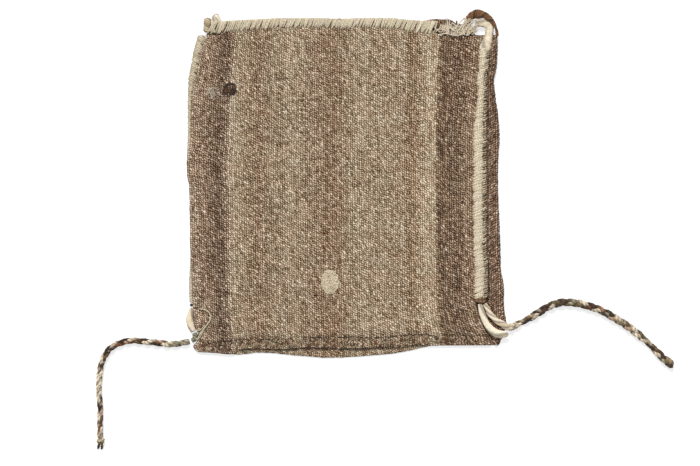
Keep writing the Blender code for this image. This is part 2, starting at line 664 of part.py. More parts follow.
def main():
    for leftover in list(bpy.data.objects):
        bpy.data.objects.remove(leftover)

    make_back(material("back_wool", 117, 92, 69))
    make_front(material("front_wool", 150, 128, 104))
    cream = material("cream_wool", 208, 194, 171)
    make_binding(material("binding_wool", 205, 190, 166))
    make_left_seam(material("left_seam_wool", 200, 187, 163))
    make_knot(material("knot_wool", 74, 60, 48))
    make_right_seam(
        material("right_seam_wool", 212, 196, 170), material("overcast_wool", 139, 128, 104),
        material("wrap_wool", 118, 84, 56),
    )
    on_back = ON_BACK_Z
    loft("left_corner_roving", corner_route(LEFT_CORNER_ROVING, LEFT_X, HEM_Y), 10, cream)
    loft("left_corner_tie", corner_route(LEFT_CORNER_TIE, LEFT_X, HEM_Y), 10,
         material("tie_wool", 146, 144, 124))
    ear_base = on_back + EAR_CORD_RISE
    loft("left_ear_cord", corner_route(LEFT_EAR_CORD, LEFT_X, MOUTH_Y, ear_base), 10,
         material("left_ear_wool", 168, 154, 132), round_ends=True)
    loop_base = on_back + EAR_LOOP_RISE
    loft("left_ear_loop", corner_route(LEFT_EAR_LOOP, LEFT_X, MOUTH_Y, loop_base), 8,
         material("ear_loop_wool", 216, 203, 180))
    curl_base = ON_CURL_Z + ROVING_RISE
    lower = corner_route(RIGHT_LOWER_ROVING, RIGHT_X, HEM_Y, curl_base)
    loft("right_corner_roving_lower", lower, 10, material("lower_roving_wool", 214, 199, 174))
    upper = corner_route(RIGHT_UPPER_ROVING, RIGHT_X, HEM_Y, curl_base)
    loft("right_corner_roving_upper", upper, 10, material("upper_roving_wool", 196, 180, 152))
    loft("right_ear_cord", corner_route(RIGHT_EAR_CORD, RIGHT_X, MOUTH_Y, on_back), 10,
         material("right_ear_wool", 122, 84, 54))
    loft("right_ear_roving", corner_route(RIGHT_EAR_ROVING, RIGHT_X, MOUTH_Y, on_back), 10,
         material("ear_roving_wool", 216, 201, 176))
    make_darn("cream_darn", CREAM_DARN, LEFT_X, HEM_Y, material("cream_darn_wool", 222, 210, 188))
    make_darn("dark_darn", DARK_DARN, LEFT_X, MOUTH_Y, material("dark_darn_wool", 88, 66, 48))
    make_darn("pale_darn", PALE_DARN, LEFT_X, MOUTH_Y, material("pale_darn_wool", 158, 142, 122))
    make_braids(
        material("left_braid_wool", 170, 148, 118), material("right_braid_wool", 132, 108, 80),
        material("braid_knot_wool", 120, 98, 66),
    )
    make_thread(material("thread_wool", 205, 198, 172))


main()
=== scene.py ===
"""Looks of the empty woven grain bag: its cloth, yarn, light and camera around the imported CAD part.

X runs across the bag, Y from the hem up to the mouth, and Z up from the surface it lies on.
"""
from math import atan2, pi

import bpy
import numpy as np
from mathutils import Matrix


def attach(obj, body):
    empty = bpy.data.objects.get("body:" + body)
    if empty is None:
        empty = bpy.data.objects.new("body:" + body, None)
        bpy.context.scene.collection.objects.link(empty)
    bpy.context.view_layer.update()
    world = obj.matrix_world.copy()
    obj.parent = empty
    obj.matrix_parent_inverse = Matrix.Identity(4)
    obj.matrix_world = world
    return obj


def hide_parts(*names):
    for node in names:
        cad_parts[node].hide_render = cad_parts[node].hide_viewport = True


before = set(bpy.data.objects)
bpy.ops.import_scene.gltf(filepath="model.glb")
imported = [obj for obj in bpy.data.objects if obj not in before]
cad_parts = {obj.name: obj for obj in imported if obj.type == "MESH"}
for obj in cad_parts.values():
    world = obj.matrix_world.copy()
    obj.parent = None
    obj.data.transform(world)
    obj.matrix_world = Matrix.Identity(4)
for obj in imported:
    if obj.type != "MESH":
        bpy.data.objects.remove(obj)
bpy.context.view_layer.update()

MM = 0.001
PIXEL = 0.0014  # metres of the bag for one pixel of the photograph

# Sizes of the CAD part, in metres
LEFT_X, RIGHT_X = -0.218, 0.218
HEM_Y, MOUTH_Y = -0.24355, 0.23245
CLOTH = 0.0028
FIT = 0.0003
SIDE_RISE, HEM_RISE = 0.045, 0.025
HEM_Z, MIDDLE_Z = 0.0045, 0.0108
LEFT_EDGE_Z, RIGHT_EDGE_Z = 0.0064, 0.0090
ON_BACK_Z, ON_CURL_Z = 0.0031, 0.0063
CURL_HEIGHT, LOW_CURL_HEIGHT, CURL_STRIP = 0.0104, 0.0060, 0.0198
LEFT_CORD_THIN, LEFT_CORD_THICK = 0.0022, 0.0047
RIGHT_SEAM_WIDTH, SEAM_GAP, SEAM_CORD_SHARE = 0.019, 0.0005, 0.68
EDGE_REACH = 0.09

# Weave: warp columns across the front, and the height of one repeat
FRONT_COLUMNS = 126
BACK_COLUMNS = 147
ROW_PITCH = 0.0062
RELIEF = 0.0008

# Outlines of the CAD part: (mark, offset in mm). From 0 up a mark is mm above the hem or in from
# the left side, and below 0 it is mm down from the mouth or in from the right side.
FRONT_LEFT = (
    (8, 13.0), (12, 8.0), (17, 5.9), (21, 9.0), (25, 11.0), (34, 11.0), (39, 8.9), (45, 6.8),
    (63, 4.5), (95, 3.6), (115, 2.7), (148, 0.7),
    (-235, -1.1), (-218, -3.9), (-193, -4.3), (-178, 0.3), (-161, 1.0), (-136, 1.7),
    (-109, 3.0), (-97, 4.4), (-84, 8.0), (-69, 11.2), (-56, 13.6), (-39, 17.8), (-22, 22.6),
)
LEFT_TUCK = (
    (77, 0.4), (95, 0.3), (115, 1.4), (132, 3.6), (148, 5.0),
    (-218, 5.3), (-193, 5.4), (-178, 1.3), (-161, 1.1), (-143, 0.5), (-126, 0.0),
)
RIGHT_OUTLINE = (
    (17, -3.8), (20, -2.4), (31, 3.2), (39, 5.3), (48, 7.5), (56, 6.8), (73, 3.9), (98, 4.0),
    (123, -0.2), (148, -1.0),
    (-218, -4.6), (-185, -3.0), (-160, -2.5), (-134, -4.5), (-109, -8.1), (-90, -10.2),
    (-67, -6.5), (-45, -4.9), (-28, -5.2), (-22, -5.9),
)
STRIP_EDGE = (
    (19, 9.0), (31, 8.3), (60, 4.8), (81, 4.2), (109, 4.0), (130, 2.8), (148, 0.0),
    (-171, 0.0), (-115, -0.2), (-87, -0.5), (-66, 2.6), (-45, 4.1), (-39, 4.9), (-28, 7.9),
)
CURL_LIFT = ((60, 0.0), (105, 1.0), (-45, 1.0), (-24, 0.6))
RIGHT_SEAM = (
    (19, 0.22), (31, 0.34), (39, 0.57), (50, 0.77), (62, 0.94), (81, 1.13), (109, 1.12),
    (130, 1.04), (148, 1.0),
    (-171, 1.0), (-122, 0.80), (-101, 0.61), (-87, 0.75), (-45, 0.74), (-40, 0.76), (-28, 0.78),
)
BACK_FOOT = (
    (8, 8.4), (33, 6.6), (58, 4.3), (92, 7.3), (117, 6.0), (151, 2.9), (201, 0.0),
    (-201, 1.3), (-176, 2.8), (-142, 5.7), (-109, 10.6), (-75, 16.7), (-42, 17.7), (-8, 17.7),
)
FRONT_FOOT = (
    (8, 8.6), (33, 7.2), (58, 5.2), (68, 11.0), (92, 12.9), (137, 11.9), (168, 14.7),
    (-212, 12.6), (-184, 14.3), (-142, 15.4), (-117, 17.7), (-86, 17.7), (-10, 18.0),
)
BACK_TOP = (
    (24, -6.0), (50, -3.9), (76, -2.8), (100, -1.2), (127, -0.8),
    (-203, -0.6), (-150, -0.6), (-130, -2.5), (-100, -4.2), (-75, -1.2), (-52, -1.4),
    (-38, -8.4), (-26, -12.6), (-16, -17.0), (-10, -24.0),
)
MOUTH_LIP = (
    (44, -5.2), (75, -3.6), (100, -2.5), (126, -1.1), (188, -1.1),
    (-226, -3.1), (-205, -1.1), (-162, -0.8), (-130, -3.5), (-100, -5.6),
)
BINDING_DEPTH = ((44, 15.5), (100, 13.5), (188, 12.5), (-205, 12.5), (-130, 15.0), (-100, 17.0))
TORN_EDGE = ((-100, -7.0), (-95, -21.0), (-79, -25.2), (-65, -21.7), (-50, -25.9), (-30, -25.2))
LEFT_NOTCH = ((42, -24.0), (50, -8.0))
LEFT_CORD_WIDTH = ((-126, 0.0), (-109, 0.16), (-97, 0.36), (-84, 1.0))
LEFT_CORD_RISE = ((-126, 0.0), (-109, 0.08), (-97, 0.28), (-84, 0.72))

# Routes of the CAD part: (x, y, z) and for thick yarn half width and half height too, in mm from
# the corner of the bag that the piece belongs to
LEFT_BRAID_ROUTE = (
    (-1.2, 23.6, 4.75), (-10.2, 21.1, 4.75), (-20.1, 19.7, 4.75), (-30.1, 19.3, 4.75),
    (-45.8, 21.1, 4.75), (-63.0, 22.7, 4.75), (-77.3, 24.1, 4.75), (-88.7, 23.4, 4.75),
    (-101.5, 19.7, 4.75), (-113.0, 12.6, 4.75), (-120.8, 1.3, 4.75), (-125.1, -10.2, 4.75),
    (-127.2, -24.5, 4.75), (-128.2, -37.4, 4.75), (-127.9, -50.3, 4.75), (-126.5, -64.5, 4.75),
    (-126.3, -78.8, 4.75), (-126.5, -93.1, 4.75), (-126.3, -107.4, 4.75), (-126.1, -113.2, 4.75),
)
RIGHT_BRAID_ROUTE = (
    (10.0, 41.4, 7.4), (24.6, 48.3, 6.2), (40.3, 56.1, 6.0), (54.0, 65.0, 6.0),
    (67.9, 72.8, 6.0), (85.5, 77.8, 6.0), (105.1, 76.7, 6.0), (124.7, 71.8, 6.0),
    (140.4, 65.9, 6.0), (156.2, 57.1, 6.0), (173.9, 46.3, 6.0), (189.5, 34.6, 6.0),
    (203.4, 22.8, 6.0), (215.2, 10.9, 6.0), (225.0, 1.1, 6.0), (234.8, -6.7, 6.0),
    (240.7, -8.7, 6.0),
)
LOOSE_THREAD_ROUTE = (
    (12.3, 68.9), (18.8, 67.8), (24.2, 65.7), (27.3, 61.9), (28.4, 57.7), (27.9, 52.8),
    (25.2, 48.6), (20.4, 42.6), (16.7, 37.2), (14.0, 32.0),
)
LEFT_CORNER_ROVING = (
    (1.4, 70.0, 2.7, 2.2, 2.4), (0.7, 65.1, 3.3, 2.9, 3.0), (-0.5, 58.8, 3.9, 4.3, 3.6),
    (-1.0, 53.9, 4.1, 5.1, 3.8), (-0.1, 49.0, 4.1, 5.0, 3.8), (1.6, 43.4, 4.1, 4.5, 3.8),
    (3.8, 38.4, 4.0, 3.9, 3.7), (4.7, 36.6, 3.9, 3.7, 3.6),
)
LEFT_CORNER_TIE = (
    (5.6, 35.2, 4.3, 3.7, 4.0), (6.8, 30.7, 4.5, 3.6, 4.2), (5.2, 26.1, 4.5, 3.4, 4.2),
    (1.4, 24.1, 4.4, 3.4, 4.1),
)
LEFT_EAR_CORD = (
    (22.6, -20.4, 0.0, 4.5, 3.6), (23.2, -11.2, 0.2, 4.7, 3.8), (23.7, -2.1, 0.2, 4.7, 3.8),
    (23.7, 0.6, 0.0, 4.5, 3.6),
)
LEFT_EAR_LOOP = (
    (32.6, -21.4, 0.0, 2.5, 3.0), (31.8, -11.2, 0.0, 2.6, 3.2), (32.2, -1.6, 0.2, 2.6, 3.2),
    (35.9, 3.4, 0.4, 2.6, 3.2), (39.6, -1.6, 0.2, 2.6, 3.2), (41.0, -9.8, 0.0, 2.5, 3.0),
    (40.2, -21.4, 0.0, 2.3, 2.8),
)
RIGHT_LOWER_ROVING = (
    (-30.8, 76.4, 0.0, 2.8, 2.8), (-29.4, 70.0, 0.0, 3.3, 3.0), (-27.2, 61.6, 0.0, 3.9, 3.0),
    (-23.8, 53.2, 0.0, 4.1, 3.0), (-19.2, 44.8, 0.0, 4.5, 3.0), (-13.0, 38.1, 0.0, 4.9, 3.0),
    (-5.9, 33.9, 0.0, 5.1, 3.0), (5.6, 33.2, 0.0, 4.0, 3.0),
)
RIGHT_UPPER_ROVING = (
    (-24.0, 76.4, 0.0, 3.0, 2.8), (-20.6, 69.7, 0.0, 3.2, 3.0), (-16.4, 62.4, 0.0, 3.5, 3.0),
    (-10.8, 55.4, 0.0, 3.8, 3.0), (-3.8, 50.1, 0.0, 4.0, 3.0), (4.0, 45.6, 0.0, 4.3, 3.0),
)
RIGHT_EAR_CORD = (
    (-49.3, -14.7, 3.9, 3.9, 3.6), (-47.5, -4.2, 4.1, 4.2, 3.8), (-42.3, 2.9, 4.3, 4.7, 4.0),
    (-33.9, 5.7, 4.3, 5.1, 4.0), (-24.8, 3.9, 5.3, 4.0, 3.0), (-17.1, -0.4, 7.7, 2.7, 2.0),
    (-11.6, -7.0, 8.3, 2.1, 1.6), (-8.6, -13.4, 8.3, 1.5, 1.3),
)
RIGHT_EAR_ROVING = (
    (-37.4, -5.8, 3.3, 3.4, 2.6), (-29.0, -7.0, 3.3, 4.4, 2.8), (-21.2, -7.8, 3.3, 4.7, 2.8),
    (-16.8, -12.8, 3.3, 4.7, 2.8), (-17.4, -20.3, 3.6, 4.4, 3.2), (-19.8, -28.7, 4.2, 5.0, 3.6),
    (-23.1, -39.8, 5.6, 5.3, 4.2),
)

# Screen colours of the wools, from 0 to 255
WOOLS = {
    "cream": (226, 211, 184), "pale": (205, 188, 158), "tan": (172, 148, 117),
    "olive": (112, 98, 68), "grey": (150, 142, 118), "green": (196, 190, 156),
    "pink": (196, 166, 140), "brown": (112, 82, 56), "rust": (132, 84, 52),
    "ochre": (176, 132, 78), "chocolate": (78, 56, 42), "dark": (60, 46, 32),
    "black": (34, 30, 22), "tie": (128, 132, 112), "purple": (104, 78, 66),
}
LETTERS = {
    "c": "cream", "p": "pink", "t": "tan", "o": "olive", "g": "grey", "n": "green", "b": "brown",
    "r": "rust", "k": "chocolate", "d": "dark", "l": "pale",
}

# Wools that show along each braid, one letter for each crossing
LEFT_BRAID_WOOLS = "ggccrdccdbcrdrcddbcdbcccccckdpckrctcdttd"
RIGHT_BRAID_WOOLS = "codtcdkkcokkogockkcrddpcobpccoctdbckotdcbtd"


def linear(name):
    """Linear colour of a wool."""
    screen = np.array(WOOLS[name] if isinstance(name, str) else name) / 255
    return np.where(screen > 0.04045, ((screen + 0.055) / 1.055) ** 2.4, screen / 12.92)


def spot(px, py):
    """X and Y of a pixel of the photograph."""
    return (px - 346) * PIXEL, (184 - py) * PIXEL


def up(mark):
    """Y of a mark above the hem, or below the mouth if it is negative."""
    return HEM_Y + mark * MM if mark >= 0 else MOUTH_Y + mark * MM


def across(mark):
    """X of a mark in from the left side, or from the right side if it is negative."""
    return LEFT_X + mark * MM if mark >= 0 else RIGHT_X + mark * MM


def curve(points, place):
    """Smooth function through (mark, value) points, level beyond its ends, with no overshoot."""
    spots = np.array([place(mark) for mark, _ in points])
    values = np.array([value for _, value in points], float)
    steps = np.diff(spots)
    slopes = np.diff(values) / steps
    same = slopes[:-1] * slopes[1:] > 0
    total = np.where(same, slopes[:-1] + slopes[1:], 1.0)
    inner = np.where(same, 2 * slopes[:-1] * slopes[1:] / total, 0.0)
    tangents = np.concatenate([slopes[:1], inner, slopes[-1:]])

    def value_at(place_on_line):
        place_on_line = np.clip(place_on_line, spots[0], spots[-1])
        i = np.clip(np.searchsorted(spots, place_on_line, side="right") - 1, 0, len(steps) - 1)
        t = (place_on_line - spots[i]) / steps[i]
        start, end = tangents[i] * steps[i], tangents[i + 1] * steps[i]
        rise = values[i + 1] - values[i]
        return values[i] + t * (start + t * (3 * rise - 2 * start - end + t * (start + end - 2 * rise)))

    return value_at


front_left_offset = curve(FRONT_LEFT, up)
left_tuck = curve(LEFT_TUCK, up)
right_offset = curve(RIGHT_OUTLINE, up)
strip_offset = curve(STRIP_EDGE, up)
curl_lift = curve(CURL_LIFT, up)
right_seam_share = curve(RIGHT_SEAM, up)
left_cord_width = curve(LEFT_CORD_WIDTH, up)
left_cord_rise = curve(LEFT_CORD_RISE, up)
back_foot_offset = curve(BACK_FOOT, across)
front_foot_offset = curve(FRONT_FOOT, across)
back_top_offset = curve(BACK_TOP, across)
mouth_lip_offset = curve(MOUTH_LIP, across)
torn_offset = curve(TORN_EDGE, across)
left_notch_offset = curve(LEFT_NOTCH, across)
binding_depth = curve(BINDING_DEPTH, across)


def ease(share):
    """Rise from 0 to 1 that starts and ends level."""
    share = np.clip(share, 0.0, 1.0)
    return share * share * (3 - 2 * share)


def wander(place, step, seed):
    """Smooth random wave from -1 to 1 along a line, with a new height each step."""
    heights = np.random.default_rng(seed).uniform(-1, 1, 1024)
    scaled = np.asarray(place, float) / step
    low = np.floor(scaled).astype(int)
    t = ease(scaled - low)
    return heights[low % 1024] * (1 - t) + heights[(low + 1) % 1024] * t


def ripple(x, y, step, seed):
    """Smooth random hills from -1 to 1 over a plane, with a new height each step."""
    heights = np.random.default_rng(seed).uniform(-1, 1, (64, 64))
    scaled_x, scaled_y = np.asarray(x) / step + 31, np.asarray(y) / step + 31
    column, row = np.floor(scaled_x).astype(int), np.floor(scaled_y).astype(int)
    s, t = ease(scaled_x - column), ease(scaled_y - row)

    def at(i, j):
        return heights[(column + i) % 64, (row + j) % 64]

    return (at(0, 0) * (1 - s) + at(1, 0) * s) * (1 - t) + (at(0, 1) * (1 - s) + at(1, 1) * s) * t


def front_left(y):
    return LEFT_X + front_left_offset(y) * MM


def strip_edge(y):
    """Free edge of the back's curled strip."""
    return RIGHT_X - CURL_STRIP + strip_offset(y) * MM


def front_right(y):
    return strip_edge(y) - RIGHT_SEAM_WIDTH * right_seam_share(y)


def front_foot(x):
    return HEM_Y + front_foot_offset(x) * MM


def mouth_lip(x):
    """Outer edge of the binding along the mouth."""
    return MOUTH_Y + mouth_lip_offset(x) * MM


def front_top(x):
    """Top of the front cloth: inside the binding, but lower at the torn corner and the left ear."""
    bound = mouth_lip(x) - 0.0027
    torn = np.minimum(bound, MOUTH_Y + torn_offset(x) * MM)
    notched = np.minimum(bound, MOUTH_Y + left_notch_offset(x) * MM)
    return np.where(x > across(-101), torn, np.where(x < across(50), notched, bound))


def front_height(x, y):
    """Height of the middle of the front cloth, which lies low along the hem and both seams."""
    top = MIDDLE_Z - HEM_Z
    left_share = (LEFT_EDGE_Z - HEM_Z) / top
    right_share = (RIGHT_EDGE_Z - HEM_Z) / top
    from_left = ease((x - front_left(y)) / SIDE_RISE)
    from_right = ease((front_right(y) - x) / SIDE_RISE)
    from_foot = ease((y - front_foot(x)) / HEM_RISE)
    slack = 0.0007 * ripple(x, y, 0.06, 11) + 0.0004 * ripple(x, y, 0.022, 12)
    level = (left_share + (1 - left_share) * from_left) * (right_share + (1 - right_share) * from_right)
    return HEM_Z + top * level * from_foot + slack * from_left * from_right * from_foot


def on_front(x, y, lift=0.0):
    """Points on top of the front cloth."""
    x, y = np.asarray(x, float), np.asarray(y, float)
    return np.stack([x, y, front_height(x, y) + CLOTH / 2 + lift], axis=-1)


def left_cord(y):
    """Middle, half width and half height of the left seam cord, beside or under the front's edge."""
    half_width = LEFT_CORD_THIN + (LEFT_CORD_THICK - LEFT_CORD_THIN) * left_cord_width(y)
    half_height = LEFT_CORD_THIN + (LEFT_CORD_THICK - LEFT_CORD_THIN) * left_cord_rise(y)
    return front_left(y) + left_tuck(y) * MM - SEAM_GAP - half_width, half_width, half_height


def right_cords(y):
    """Middle and half width of the right seam cord and of the overcast yarn beside it."""
    room = np.minimum(RIGHT_SEAM_WIDTH * right_seam_share(y), RIGHT_SEAM_WIDTH) - 3 * SEAM_GAP
    cord = room * SEAM_CORD_SHARE / 2
    overcast = room * (1 - SEAM_CORD_SHARE) / 2
    cord_x = front_right(y) + SEAM_GAP + cord
    return cord_x, cord, cord_x + cord + SEAM_GAP + overcast, overcast


def back_left(y):
    """The back's left edge, just inside the seam cord."""
    return front_left(y) + left_tuck(y) * MM + SEAM_GAP


def curl_height(y):
    return LOW_CURL_HEIGHT + (CURL_HEIGHT - LOW_CURL_HEIGHT) * curl_lift(y)


def shifted(level, foot, top):
    """Row height where the cloth ends at foot and top. The shift fades out away from the edges."""
    near_foot = np.maximum(0.0, 1 - (level - HEM_Y) / EDGE_REACH) ** 2
    near_top = np.maximum(0.0, 1 - (MOUTH_Y - level) / EDGE_REACH) ** 2
    return level + (foot - HEM_Y) * near_foot + (top - MOUTH_Y) * near_top


def distances(points):
    """Length along a line of points, from 0 at its first."""
    return np.concatenate([[0.0], np.cumsum(np.linalg.norm(np.diff(points[:, :3], axis=0), axis=1))])


def route(points, spacing):
    """Evenly spaced points on a smooth line through the given ones."""
    points = np.asarray(points, float)
    rows = np.vstack([points[:1], points, points[-1:]])
    t = np.linspace(0, 1, 12, endpoint=False)[:, None]
    parts = [
        0.5 * (2 * b + t * (c - a + t * (2 * a - 5 * b + 4 * c - d + t * (3 * b - a - 3 * c + d))))
        for a, b, c, d in zip(rows, rows[1:], rows[2:], rows[3:])
    ]
    dense = np.vstack([*parts, points[-1:]])
    length = distances(dense)
    even = np.linspace(0, length[-1], max(round(length[-1] / spacing), 2) + 1)
    return np.column_stack([np.interp(even, length, column) for column in dense.T])


def corner_route(points, corner, base_z=0.0, spacing=0.0008):
    """Route given in mm from a corner of the bag, in metres."""
    rows = np.array(points) * MM
    rows[:, 0] += corner[0]
    rows[:, 1] += corner[1]
    rows[:, 2] += base_z
    return route(rows, spacing)


def unit(vectors):
    return vectors / np.linalg.norm(vectors, axis=-1, keepdims=True)


class Yarn:
    """Tubes of twisted yarn that together become one mesh.

    Each point keeps its wool's colour (Tint), how far it stands out (Rise) and where it is on the
    yarn (Lay), which the wool material reads. The material paints shade from Rise: darker in the
    grooves between plies and where braid strands dip under the others.
    """

    def __init__(self):
        self.points, self.quads, self.triangles = [], [], []
        self.tints, self.rises, self.lays = [], [], []
        self.count = 0

    def tube(self, path, half_width, half_height, wools, *, pitch=0.008, groove=0.22, sides=10,
             hand=1, guide=None, ends=(0.0, 0.0), rough=0.05, shade_depth=1.0, phase=0.0, seed=0):
        """Add yarn along a path. Wools holds one colour for each ply, or a row of them for each point."""
        path = np.asarray(path, float)
        count = len(path)
        along = unit(np.gradient(path, axis=0))
        if guide is None:
            side = unit(np.cross(along, (0.0, 0.0, 1.0)))
        else:
            side = unit(np.array(guide) - (along @ np.array(guide))[:, None] * along)
        rise = np.cross(side, along)
        reach = distances(path)
        tints = np.asarray(wools, float)
        if tints.ndim == 2:
            tints = np.repeat(tints[None], count, axis=0)
        plies = tints.shape[1]
        turn = 2 * pi * np.arange(sides) / sides
        twisted = turn[None] - hand * 2 * pi * reach[:, None] / pitch + phase
        ridge = np.abs(np.cos(plies * twisted / 2)) if plies > 1 else np.ones((count, sides))
        size = 1 - groove * (1 - ridge)
        size *= 1 + rough * wander(reach[:, None] + 0.37 * np.cos(turn), 0.0016, seed)
        size *= (1 + 0.6 * rough * wander(reach, 0.006, seed + 1))[:, None]
        size *= end_profile(reach, ends)[:, None]
        wide = np.broadcast_to(half_width, count)[:, None] * np.cos(turn) * size
        high = np.broadcast_to(half_height, count)[:, None] * np.sin(turn) * size
        rings = path[:, None] + side[:, None] * wide[..., None] + rise[:, None] * high[..., None]
        ply = np.floor((twisted + pi / plies) * plies / (2 * pi)).astype(int) % plies
        tint = tints[np.arange(count)[:, None], ply]
        lay = np.stack([
            np.cos(twisted) * 1.6, np.sin(twisted) * 1.6,
            np.repeat(reach[:, None] * 140 + seed * 7.3, sides, axis=1),
        ], axis=-1)
        # Rise is high on the ply ridges and low in the grooves, and lower where a braid strand dips under; the wool
        # material paints shade from it.
        shade = ridge * np.broadcast_to(shade_depth, count)[:, None]
        self.add_rings(rings, tint, shade, lay)

    def add_rings(self, rings, tint, shade, lay):
        """Join rings of points into a closed tube with a point in the middle of each end."""
        count, sides = rings.shape[:2]
        first = self.count
        index = first + np.arange(count * sides).reshape(count, sides)
        following = np.roll(index, -1, axis=1)
        self.quads.append(np.stack(
            [index[:-1], index[1:], following[1:], following[:-1]], axis=-1).reshape(-1, 4))
        start, end = first + count * sides, first + count * sides + 1
        middle = np.full(sides, start)
        self.triangles.append(np.stack([middle, index[0], following[0]], axis=-1))
        self.triangles.append(np.stack([middle + 1, following[-1], index[-1]], axis=-1))
        for store, values in (
            (self.points, rings), (self.tints, tint), (self.rises, shade[..., None]), (self.lays, lay),
        ):
            flat = values.reshape(count * sides, -1)
            store.append(np.vstack([flat, values[0].mean(axis=0), values[-1].mean(axis=0)]))
        self.count = end + 1

    def finish(self, name, surface, *nodes):
        """Make the mesh, which stands for these CAD nodes."""
        faces = np.vstack(self.quads).tolist() + np.vstack(self.triangles).tolist()
        mesh = bpy.data.meshes.new(name)
        mesh.from_pydata(np.vstack(self.points), [], faces)
        tints = np.vstack(self.tints)
        keep(mesh, "Tint", "FLOAT_COLOR", "color", np.column_stack([tints, np.ones(len(tints))]))
        keep(mesh, "Rise", "FLOAT", "value", np.vstack(self.rises))
        keep(mesh, "Lay", "FLOAT_VECTOR", "vector", np.vstack(self.lays))
        return place_piece(name, mesh, surface, *nodes)


def keep(mesh, name, kind, field, values):
    """Store one value for each point of a mesh."""
    mesh.attributes.new(name, kind, "POINT").data.foreach_set(field, values.astype(np.float32).ravel())


def place_piece(name, mesh, surface, *nodes):
    """Object of a mesh that rides on the bag and stands for some of its CAD nodes."""
    mesh.shade_smooth()
    mesh.materials.append(surface)
    piece = bpy.data.objects.new(name, mesh)
    bpy.context.scene.collection.objects.link(piece)
    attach(piece, "root")
    if nodes:
        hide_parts(*nodes)
    return piece


def end_profile(reach, ends):
    """Share of the full thickness along yarn whose ends are rounded off over the given lengths."""
    profile = np.ones(len(reach))
    for length, away in ((ends[0], reach), (ends[1], reach[-1] - reach)):
        if length:
            share = np.clip(away / length, 0, 1)
            profile *= 0.12 + 0.88 * np.sqrt(1 - (1 - share) ** 2)
    return profile


class Nodes:
    """Short way to write a node tree."""

    def __init__(self, tree):
        self.tree = tree

    def add(self, kind, inputs=(), **settings):
        node = self.tree.nodes.new("ShaderNode" + kind)
        for name, value in settings.items():
            setattr(node, name, value)
        for key, value in dict(inputs).items():
            if isinstance(value, bpy.types.NodeSocket):
                self.tree.links.new(value, node.inputs[key])
            else:
                node.inputs[key].default_value = value
        return node

    def math(self, operation, *values):
        return self.add("Math", dict(enumerate(values)), operation=operation).outputs[0]

    def scale(self, value, low, high, to_low=0.0, to_high=1.0, smooth=False):
        """Map a value from one range to another, held at the ends."""
        kind = "SMOOTHSTEP" if smooth else "LINEAR"
        inputs = {"Value": value, "From Min": low, "From Max": high, "To Min": to_low, "To Max": to_high}
        return self.add("MapRange", inputs, interpolation_type=kind).outputs["Result"]

    def mix(self, share, first, second, blend="MIX"):
        node = self.add("Mix", {0: share, 6: first, 7: second}, data_type="RGBA", blend_type=blend)
        return node.outputs[2]

    def grey(self, value):
        """Colour with the same value in each channel."""
        return self.add("CombineColor", {0: value, 1: value, 2: value}).outputs[0]

    def noise(self, vector, scale, detail=2.0, roughness=0.5):
        inputs = {"Vector": vector, "Scale": scale, "Detail": detail, "Roughness": roughness}
        return self.add("TexNoise", inputs).outputs[0]

    def vector(self, x, y, z=0.0):
        return self.add("CombineXYZ", {0: x, 1: y, 2: z}).outputs[0]


def new_material(name):
    """Matte wool material, its nodes and its shader."""
    surface = bpy.data.materials.new(name)
    surface.use_nodes = True
    shader = surface.node_tree.nodes["Principled BSDF"]
    shader.inputs["Roughness"].default_value = 0.88
    shader.inputs["Specular IOR Level"].default_value = 0.22
    shader.inputs["Sheen Weight"].default_value = 0.08
    shader.inputs["Sheen Roughness"].default_value = 0.6
    return surface, Nodes(surface.node_tree), shader


def yarn_material(name, hollow_shade=0.42, streak=0.30):
    """Twisted wool: the yarn's own colour with painted shade between its plies and where braid strands dip under, a
    little lighter on the ply ridges, with fibres along it.
    """
    surface, nodes, shader = new_material(name)
    tint = nodes.add("Attribute", attribute_name="Tint").outputs["Color"]
    rise = nodes.add("Attribute", attribute_name="Rise").outputs["Fac"]
    lay = nodes.add("Attribute", attribute_name="Lay").outputs["Vector"]
    fibre = nodes.noise(lay, 2.6, 3.0, 0.6)
    patch = nodes.noise(lay, 0.55, 1.0)
    place = nodes.add("TexCoord").outputs["Object"]
    hair = nodes.noise(place, 1500.0, 1.0)
    # Painted shade and highlight: low Rise darkens the colour down to the hollow level, and high Rise lightens it
    # slightly on the ply ridges.
    shade_depth = nodes.scale(rise, 0.0, 0.9, hollow_shade, 1.06, smooth=True)
    tone = nodes.math("MULTIPLY", shade_depth, nodes.scale(fibre, 0.25, 0.75, 1 - streak, 1 + streak))
    tone = nodes.math("MULTIPLY", tone, nodes.scale(patch, 0.3, 0.7, 0.90, 1.08))
    tone = nodes.math("MULTIPLY", tone, nodes.scale(hair, 0.3, 0.7, 0.90, 1.10))
    colour = nodes.mix(1.0, tint, nodes.grey(tone), "MULTIPLY")
    nodes.tree.links.new(colour, shader.inputs["Base Color"])
    height = nodes.math("ADD", fibre, nodes.math("MULTIPLY", hair, 0.5))
    bump = nodes.add("Bump", {"Strength": 0.6, "Distance": 0.0004, "Height": height})
    nodes.tree.links.new(bump.outputs["Normal"], shader.inputs["Normal"])
    return surface


